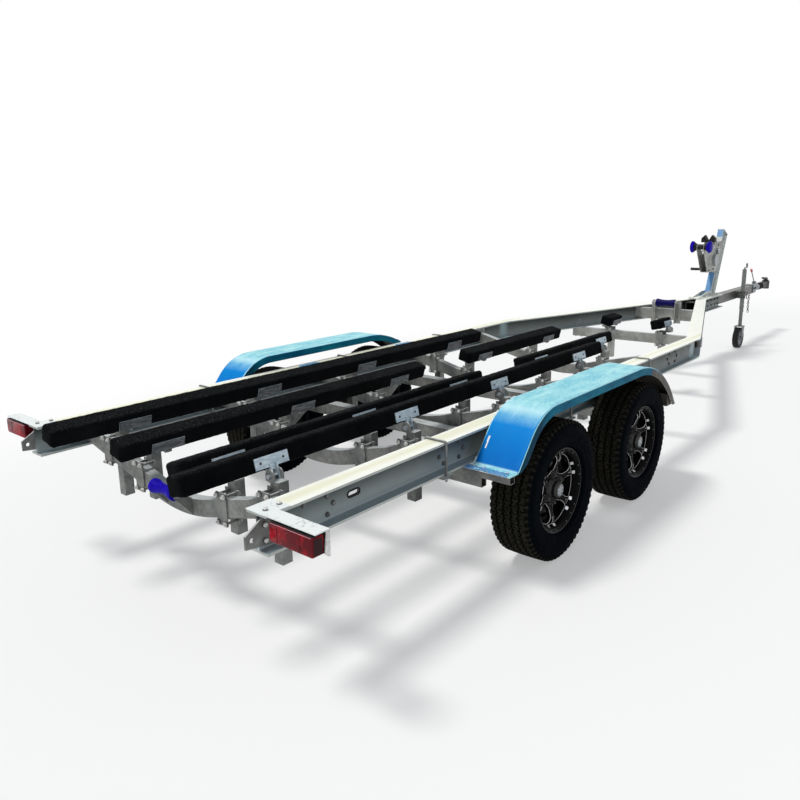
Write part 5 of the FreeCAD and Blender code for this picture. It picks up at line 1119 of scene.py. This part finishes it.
def add_guards():
    """Mudguards with film scraps at their feet, chips along their inner edges and a torn spot on the right."""
    samples = guard_path()
    foot = samples[0][0]
    for label, side in SIDES:
        guard_piece(label, side)
        film = Piece("guard_film_" + label)
        for index in range(6):
            place = (foot.x + 0.018 + 0.006 * wave(index, 2), side * (0.912 + 0.034 * index), GUARD_FOOT_Z)
            scrap(film, place, (1, 0, 0), (0.040, 0.046), 0.0075, "torn_film" if index % 2 else "sky_film",
                  40 + index + side)
        rng = random.Random(7 + side)
        for place, outward in samples[8:-6:3]:
            if rng.random() < 0.55:
                continue
            centre = Vector((place.x, side * (GUARD_Y[0] + 0.004), place.y))
            centre += Vector((outward.x, 0, outward.y)) * 0.0002
            scrap(film, centre, (outward.y, 0, -outward.x), (rng.uniform(0.015, 0.05), 0.007), 0.0012, "plate",
                  100 + int(rng.random() * 900))
        film.finish("root", "blue_film", smooth=20)
    tear = Piece("guard_tear")
    low, _, high = [p for p, n in samples if at(-0.62) < p.x < at(-0.30) and p.y > GUARD_FOOT_Z + 0.05][:3]
    along = (high - low).normalized()
    out = Vector((-along.y, 0, along.x))
    for start, end, left, right in ((0.004, 0.036, -0.9150, -0.9215), (0.036, 0.066, -0.9120, -0.9205)):
        first, last = (low + along * ((TORN_X - low.x) / along.x + s) for s in (start, end))
        corners = [Vector((p.x, y, p.y)) + out * 0.0002
                   for p, y in ((first, right), (last, right), (last, left), (first, left))]
        patch(tear, corners, out, 0.0010, "plate")
    tear.finish("root", "blue_film", smooth=20)


# Mudguard mountings

MOUNT_HALF = 0.020
WEDGE_X = at(1.296)
WEDGE_BOTTOM = 0.4965
U_BOLT_OUT = 0.0563
U_BOLT_BEND = 0.011
U_BOLT_TOP = RAIL_TOP + 0.006


def add_mountings():
    """Tubes that carry the mudguards and U-bolts round the rails."""
    piece, fittings = Piece("guard_mountings"), Piece("mounting_fasteners")
    under = [p - n * (GUARD_THICK + 0.0006) for p, n in guard_path()]
    profile = [(q.x, q.y) for q in under if q.x >= WEDGE_X and q.y < RAIL_BOTTOM - 0.0005]
    wedge = [(WEDGE_X, WEDGE_BOTTOM), (WEDGE_X, RAIL_BOTTOM - 0.0005), (profile[0][0] - 0.006, RAIL_BOTTOM - 0.0005),
             *profile, (profile[-1][0], WEDGE_BOTTOM)]
    low = RAIL_BOTTOM - 0.008
    for _, side in SIDES:
        for middle in (at(-0.484), at(1.316)):
            piece.box_tube((middle, side * 0.782, 0.530), (middle, side * 0.966, 0.530), (MOUNT_HALF, 0.042), 0.004,
                           "galvanised")
        middle = at(-0.484)
        piece.box_tube((middle, side * 0.9600, 0.552), (middle, side * 1.110, 0.552), (0.0198, MOUNT_HALF), 0.003,
                       "galvanised")
        # Front leg of the mudguard in bare metal, coloured dark as painted shade.
        piece.loft([[(x, side * y, z) for x, z in wedge] for y in (0.965, 1.110)], "bare")
        for x in (at(-0.655), at(0.480), at(1.560)):
            path = [(x, side * (RAIL_Y - U_BOLT_OUT), low - 0.018)]
            for angle in (0, 22, 45, 68, 90):
                inward, rise = U_BOLT_BEND - polar(U_BOLT_BEND, angle)[0], polar(U_BOLT_BEND, angle)[1]
                path.append((x, side * (RAIL_Y - U_BOLT_OUT + inward), U_BOLT_TOP - U_BOLT_BEND + rise))
            path += [(x, side * (2 * RAIL_Y) - y, z) for _, y, z in reversed(path)]
            piece.tube(path, 0.0058, 12, "galvanised")
            piece.block((x - 0.035, side * RAIL_Y - 0.067, low), (x + 0.035, side * RAIL_Y + 0.067, RAIL_BOTTOM),
                        "galvanised")
            for shift in (-U_BOLT_OUT, U_BOLT_OUT):
                fittings.bolt((x, side * (RAIL_Y + shift), low), DOWN, 0.0105, thread=0.006)
        for y in (0.915, 0.965, 1.085):
            fittings.bolt((middle, side * y, GUARD_FOOT_Z), UP, 0.0068, "machined", washer="dark_steel")
    piece.finish("root", "galvanised", ("mudguard_mountings",), smooth=40)
    fittings.finish("root", "zinc_steel")


# Fasteners and small fittings

POST_SLOPE = math.radians(14)
POST_HALF = 0.025
CLAMP_DEPTH = 0.056
LAMP_REAR, LAMP_FRONT = at(-1.642), at(-1.5805)
LAMP_INNER, LAMP_OUTER = 0.904, 1.112
LAMP_LOW, LAMP_HIGH = 0.638, 0.712
SIDE_LAMP_X = at(2.455)
WEB_SLOT_X = at(-1.172)


def arm_outward(side):
    """Direction outward from the web of a front arm of the frame."""
    return Vector((-side * (JOIN_Y - RAIL_Y), JOIN_X - BEND_X, 0)).normalized() * side


def arm_y(x):
    return RAIL_Y + (JOIN_Y - RAIL_Y) * (x - BEND_X) / (JOIN_X - BEND_X)


def add_rail_bolts():
    """Bolts through the rails: crossmembers, front arms, drawbar, axles, lamp plates and strap eyes."""
    piece = Piece("rail_bolts")
    web_out, web_in = RAIL_Y + WEB_HALF, RAIL_Y - WEB_HALF - END_PLATE
    for _, side in SIDES:
        for station in CROSS_STATIONS:
            spots = [(sx * 0.057, sz * 0.036) for sx in (-1, 1) for sz in (-1, 1)] + [(-0.088, 0), (0.088, 0)]
            for dx, dz in spots:
                x, z = station + dx, RAIL_AXIS_Z - 0.0045 + dz
                piece.bolt((x, side * web_out, z), (0, side, 0), 0.0088, "dull_zinc", turn=dx * 40,
                           washer="dark_steel")
                piece.bolt((x, side * web_in, z), (0, -side, 0), 0.0092, thread=0.006, turn=dz * 40)
        outward = arm_outward(side)
        spots = [(FRONT_CROSS_X + dx, z) for dx, z in ((-0.055, 0.612), (0.0, 0.640), (0.055, 0.612))]
        spots += [(ROLLER_CROSS_X + dx, z) for z in (0.612, 0.676) for dx in (-0.020, 0.030)]
        for x, z in spots:
            base = Vector((x, side * arm_y(x), z))
            piece.bolt(base + outward * WEB_HALF, outward, 0.0088, "dull_zinc", washer="dark_steel")
            piece.bolt(base - outward * WEB_HALF, -outward, 0.0088, thread=0.005)
        for shift in (-0.030, 0.030):
            y = side * (arm_y(FRONT_CROSS_X) + shift)
            piece.bolt((FRONT_CROSS_X, y, RAIL_BOTTOM + 0.010), UP, 0.0090, thread=0.008)
            piece.bolt((FRONT_CROSS_X, y, RAIL_BOTTOM - 0.085), DOWN, 0.0095)
        for x in (5.19, 5.31, 5.43, 5.55, 5.65):
            for dz in (-0.028, 0.028):
                piece.bolt((at(x), side * (JOIN_Y + WEB_HALF), RAIL_AXIS_Z + dz), (0, side, 0), 0.0098, "dull_zinc",
                           thread=0.007, washer="dark_steel")
        for axle in AXLE_CLAMPS:
            for dx in (-0.095, 0.095):
                for dy in (-0.0286, 0.0286):
                    piece.bolt((axle + dx, side * RAIL_Y + dy, RAIL_BOTTOM + 0.010), UP, 0.0095, thread=0.010)
        for z in (0.670, 0.614):
            piece.bolt((at(-1.608), side * (web_out + 0.008), z), (0, side, 0), 0.0092, "machined",
                       washer="dark_steel")
        for x, y in ((-1.603, 0.847), (-1.539, 0.843)):
            piece.bolt((at(x), side * y, RAIL_TOP + 0.004), UP, 0.0085, "machined", washer="dark_steel")
    piece.finish("root", "zinc_steel")


def cross_height_at(y):
    """Top and bottom of a bent crossmember's tube beside a post."""
    middle = RAIL_AXIS_Z - (RAIL_Y - WEB_HALF - abs(y)) * math.tan(POST_SLOPE)
    half = 0.0375 / math.cos(POST_SLOPE) + 0.033 * math.tan(POST_SLOPE)
    return middle + half, middle - half


def add_post_fittings():
    """Clamp nuts, pivot bolts and cradle screws at every bunk post."""
    posts = [(station, 0.585, OUTER_BUNK, *cross_height_at(0.585)) for station in CROSS_STATIONS[:4]]
    posts += [(station, 0.310, INNER_BUNK, *cross_height_at(0.310)) for station in CROSS_STATIONS]
    posts.append((FRONT_CROSS_X, 0.240, FRONT_PAD, RAIL_BOTTOM, RAIL_BOTTOM - 0.085))
    clamps, pivots, screws = Piece("clamp_nuts"), Piece("pivot_bolts"), Piece("cradle_screws")
    screw = ((-0.0005, 0.0001), (-0.0005, 0.0058), (0.0012, 0.0056), (0.0026, 0.0040), (0.0030, 0.0001))
    for station, post_y, (bunk_y, bunk_z), top, bottom in posts:
        face = station + POST_HALF
        for _, side in SIDES:
            for z in (bottom - 0.012, top + 0.012):
                for shift in (-0.024, 0.024):
                    clamps.bolt((face - CLAMP_DEPTH, side * post_y + shift, z), (-1, 0, 0), 0.0105, "machined",
                                thread=0.006, turn=z * 30 + shift * 20, washer="dark_steel")
                for shift in (-0.036, 0.036):
                    clamps.bolt((face + 0.006, side * post_y + shift, z), (1, 0, 0), 0.0078)
            y, z = bunk_place(bunk_y, bunk_z, BUNK_TILT, 0.050, -0.035)
            y, z = side * (y + 0.010), z - 0.032
            pivots.bolt((face, y, z), (-1, 0, 0), 0.0120, turn=bunk_y * 9)
            pivots.bolt((face + 0.050, y, z), (1, 0, 0), 0.0120, thread=0.004)
            for out in (1, -1):
                y, z = bunk_place(bunk_y, bunk_z, BUNK_TILT, 0.055 * out, -0.010)
                axis = (0, side * out * math.cos(BUNK_TILT), out * math.sin(BUNK_TILT))
                for dx in (-0.056, 0.056):
                    screws.lathe(screw, (face + POST_HALF + dx, side * y, z), axis, 12, "dark_steel")
    for piece in (clamps, pivots, screws):
        piece.finish("root", "zinc_steel")


def lamp_slab(piece, side, xs, ys, zs, finish, corner=0.005):
    """Rounded block along the trailer, its rear edges softened."""
    rings = []
    for x, shrink in ((xs[0], 0.0040), (xs[0] + 0.0012, 0.0018), (xs[0] + 0.003, 0.0006), (xs[0] + 0.006, 0.0),
                      (xs[1], 0.0)):
        outline = rounded((ys[1] - ys[0]) / 2 - shrink, (zs[1] - zs[0]) / 2 - shrink, corner, 3)
        rings.append([(x, side * (sum(ys) / 2 + a), sum(zs) / 2 + b) for a, b in outline])
    piece.loft(rings, finish)


def add_lamps():
    """Tail lamps under their plates: black body, red lens in front and round the outer end, and a painted highlight
    strip along the lens's upper edge.
    """
    piece, plates = Piece("lamp_dress"), Piece("lamp_plate_dress")
    rear, inner, outer, low, high = LAMP_REAR, LAMP_INNER, LAMP_OUTER, LAMP_LOW, LAMP_HIGH
    sheet = ((-1.634, 0.782), (-1.634, 1.118), (-1.572, 1.118), (-1.572, 0.882), (-1.524, 0.882), (-1.524, 0.782))
    fin = ((-1.588, 0.7172), (-1.572, 0.7172), (-1.572, 0.6290), (-1.580, 0.6290), (-1.596, 0.6420))
    for _, side in SIDES:
        lamp_slab(piece, side, (rear + 0.046, LAMP_FRONT), (inner, outer - 0.004), (low, high), "black_rubber")
        lamp_slab(piece, side, (rear, rear + 0.0465), (inner + 0.002, outer), (low + 0.002, high - 0.003), "lens",
                  0.008)
        near, far = sorted((side * (inner + 0.006), side * (outer - 0.004)))
        piece.block((rear + 0.003, near, high - 0.0036), (rear + 0.046, far, high - 0.0008), "black_rubber")
        # Painted highlight: a pale strip just under the lens's upper front edge.
        piece.block((rear + 0.0004, near + 0.004, high - 0.0064), (rear + 0.004, far - 0.004, high - 0.0048),
                    "lens_edge_highlight")
        for share in (0.20, 0.72):
            y = side * (inner + (outer - inner) * share)
            piece.block((rear - 0.0006, y - 0.0010, low + 0.008), (rear + 0.004, y + 0.0010, high - 0.010),
                        "lens_side")
        for row in range(5):
            z = low + 0.017 + 0.0095 * row
            piece.block((rear - 0.0003, side * (inner + (outer - inner) * 0.23), z - 0.0007),
                        (rear + 0.003, side * (outer - 0.008), z + 0.0007), "lens")
        piece.block((rear + 0.006, side * (outer - 0.0010), low + 0.008),
                    (rear + 0.042, side * (outer + 0.0004), high - 0.010), "lens_side")
        plates.loft([[(at(x), side * y, RAIL_TOP + dz) for x, y in sheet] for dz in (0.0002, 0.004)], "plate")
        plates.block((at(-1.580), side * 0.904, RAIL_TOP - 0.0735), (at(-1.576), side * 1.116, RAIL_TOP + 0.001),
                     "plate")
        plates.loft([[(at(x), y, z) for x, z in fin] for y in sorted((side * 1.1145, side * 1.118))], "machined")
    piece.finish("root", "lamp_red", ("tail_lamps",), smooth=35)
    plates.finish("root", "plate_white", ("lamp_plates",))


def add_winch_trim():
    """Bolts on the winch's plates and the keel brackets, film on the winch post and torn film."""
    piece = Piece("winch_bolts")
    for _, side in SIDES:
        for x, z in ((5.330, 1.008), (5.470, 1.012), (5.432, 1.292), (5.600, 1.270), (5.560, 1.090)):
            piece.bolt((at(x), side * 0.038, z), (0, side, 0), 0.0090, "dark_steel")
        for x in (5.055, 5.240, 5.420, 5.640):
            piece.bolt((at(x), side * 0.0495, RAIL_TOP + 0.010), UP, 0.0078, thread=0.004)
        piece.bolt((at(-1.462), side * 0.092, 0.545), (0, side, 0), 0.0135)
        piece.bolt((at(4.210), side * 0.102, 0.762), (0, side, 0), 0.0135)
    piece.finish("root", "zinc_steel")
    film = Piece("post_film")
    lean = math.radians(24)
    foot = Vector((at(5.455), 0, RAIL_TOP + 0.010))
    up_post = Vector((math.sin(lean), 0, math.cos(lean)))
    rear = Vector((-math.cos(lean), 0, math.sin(lean)))
    inside = foot - rear * 0.148
    sheets = [(foot + rear * 0.0004, low, high, -0.031, 0.031, "sky_film")
              for low, high in ((0.030, 0.262), (0.690, 0.770))]
    sheets += [(inside + rear * 0.0003, 0.075, 0.765, edge * 0.0045, edge * 0.0312, "plate") for edge in (1, -1)]
    for base, low, high, near, far, finish in sheets:
        corners = [base + up_post * s + Vector((0, y, 0))
                   for s, y in ((low, near), (high, near), (high, far), (low, far))]
        patch(film, corners, rear, 0.0008, finish)
    scrap(film, foot + Vector((-0.075, 0.0, 0.0)), (1, 0, 0), (0.14, 0.056), 0.030, "torn_film", 5)
    for x in AXLE_CLAMPS:
        scrap(film, (x, RAIL_Y - 0.012, RAIL_TOP), (1, 0, 0), (0.16, 0.050), 0.010, "torn_film", 9)
    film.finish("root", "blue_film", smooth=20)


def add_winch_parts():
    """Bow roller with dark inner cones, partly in a darker blue as painted shade; black boss rings over the arms'
    tips round the axle as painted shade; and the crank with its black grip.
    """
    roller, shade_bosses = Piece("bow_roller_dress"), Piece("roller_shade_bosses")
    centre = (at(5.145), 0, 1.268)
    for side in (1, -1):
        roller.lathe(((0.103, 0.0001), (0.103, 0.052), (0.1005, 0.0570), (0.095, 0.0618), (0.088, 0.0612),
                      (0.077, 0.0580), (0.070, 0.0510), (0.070, 0.0001)), centre, (0, side, 0), 48, "blue_rubber")
        # Inner rings of the cones in the darker blue: painted shade.
        roller.lathe(((0.0702, 0.0001), (0.0702, 0.0508), (0.0605, 0.0440), (0.0605, 0.0002)),
                     centre, (0, side, 0), 48, "shaded_blue_rubber")
        roller.lathe(((0.0607, 0.0001), (0.0607, 0.0438), (0.052, 0.0375), (0.0448, 0.0325), (0.0448, 0.0088)),
                     centre, (0, side, 0), 48, "black_rubber")
        # Black rings over the arms' tips round the axle, put where the arms lie in shade: painted shade.
        shade_bosses.lathe(((0.0266, 0.0102), (0.0266, 0.0268), (0.0280, 0.0282), (0.0425, 0.0300), (0.0440, 0.0288),
                      (0.0440, 0.0102)), centre, (0, side, 0), 40, "black_rubber", wrap=True)
    roller.lathe(((-0.0445, 0.0001), (-0.0445, 0.0088), (-0.0262, 0.0088), (-0.0262, 0.0290), (0.0, 0.0275),
                  (0.0262, 0.0290), (0.0262, 0.0088), (0.0445, 0.0088), (0.0445, 0.0001)), centre, (0, 1, 0), 48,
                 "black_rubber")
    roller.finish("bow_roller", "roller_blue", ("bow_roller",), smooth=35)
    shade_bosses.finish("root", "black_rubber", smooth=35)
    crank = Piece("crank_dress")
    x, z, arm = at(5.556), 1.205, 0.205
    crank.lathe(((-0.046, 0.0001), (-0.046, 0.0070), (-0.045, 0.0080), (0.126, 0.0080)), (x, 0, z), (0, 1, 0), 24,
                "zinc")
    halves = [polar(0.012, 18 * k) for k in range(11)]
    outline = [(x + a, z + b) for a, b in halves] + [(x - a, z - arm - b) for a, b in halves]
    crank.loft([[(px, y, pz) for px, pz in outline] for y in (0.118, 0.126)], "zinc")
    crank.bolt((x, 0.126, z), (0, 1, 0), 0.0095, "dark_steel", washer=False)
    grip = [(0.0, 0.0001), (0.0, 0.0125), (0.004, 0.0145)]
    for k in range(9):
        grip += [(start + 0.0105 * k, radius)
                 for start, radius in ((0.009, 0.0149), (0.0135, 0.0149), (0.0148, 0.0141))]
    grip += [(0.1035, 0.0146), (0.1050, 0.0110), (0.1050, 0.0001)]
    crank.lathe(grip, (x, 0.126, z - arm), (0, 1, 0), 32, "black_rubber")
    crank.finish("winch_crank", "zinc_steel", ("winch_crank",), smooth=35)


def add_drawbar_trim():
    """Red end of the brake lever, jockey clamp and coupling bolts, and two safety chains."""
    lever = Piece("lever_end")
    lean = math.radians(46)
    base = Vector((at(7.330), 0, 0.712))
    lever.lathe(((0.2290, 0.0132), (0.2300, 0.0138), (0.2620, 0.0138), (0.2652, 0.0120), (0.2652, 0.0001)),
                base, (-math.sin(lean), 0, math.cos(lean)), 24, "red_paint")
    lever.finish("root", "zinc_steel", smooth=35)
    bolts, chain = Piece("drawbar_bolts"), Piece("safety_chains")
    for _, side in SIDES:
        for x in (7.115, 7.185):
            bolts.bolt((at(x), side * 0.058, RAIL_AXIS_Z + 0.012), (0, side, 0), 0.0115, "dark_steel")
        bolts.bolt((base.x, side * 0.022, base.z), (0, side, 0), 0.0085)
        top = Vector((at(7.020), side * 0.030, RAIL_AXIS_Z - 0.050))
        for index in range(9):
            centre = top + Vector((0.010 * wave(index * 0.5, side), 0, -0.012 - 0.0265 * index))
            wide = Vector((1, 0, 0)) if index % 2 else Vector((0, 1, 0))
            path = []
            for k in range(16):
                a, b = polar(0.0095, 360 * k / 16)
                path.append(centre + wide * a + UP * (b + (0.0085 if k <= 8 else -0.0085)))
            chain.tube(path, 0.0034, 6, "dark_steel", closed=True)
    for dx in (-0.045, 0.045):
        for dz in (-0.036, 0.036):
            bolts.bolt((at(6.400) + dx, -0.058, RAIL_AXIS_Z + dz), (0, -1, 0), 0.0075)
    bolts.finish("root", "zinc_steel")
    chain.finish("root", "zinc_steel", smooth=60)


def add_side_trim():
    """Dark lenses on the side lamps and rubber rings round the webs' cable slots."""
    lamps, rings = Piece("side_lamp_dress"), Piece("slot_rings")
    for _, side in SIDES:
        for y in (RAIL_Y + WEB_HALF + 0.001, RAIL_Y - WEB_HALF - 0.001):
            path = []
            for k in range(28):
                a, b = polar(0.0125, 360 * k / 28)
                path.append((WEB_SLOT_X + (0.0205 if a > 0 else -0.0205) + a, side * y, RAIL_AXIS_Z + b))
            rings.tube(path, 0.0032, 8, "black_rubber", closed=True)
        lens = []
        for out, shrink in ((0.0175, 0.006), (0.0187, 0.0065), (0.0192, 0.0085)):
            lens.append([(SIDE_LAMP_X + sx * (0.030 - shrink), side * (RAIL_Y + FLANGE_HALF + out),
                          0.691 + sz * (0.022 - shrink)) for sx, sz in ((1, 1), (-1, 1), (-1, -1), (1, -1))])
        lamps.loft(lens, "black_rubber")
    rings.finish("root", "black_rubber", smooth=60)
    lamps.finish("root", "lamp_black")


add_camera()
add_stage()
finish_nodes()
add_wheels()
add_bunks()
add_guards()
add_mountings()
add_rail_bolts()
add_post_fittings()
add_lamps()
add_winch_trim()
add_winch_parts()
add_drawbar_trim()
add_side_trim()

bpy.context.scene.view_settings.view_transform = "Standard"
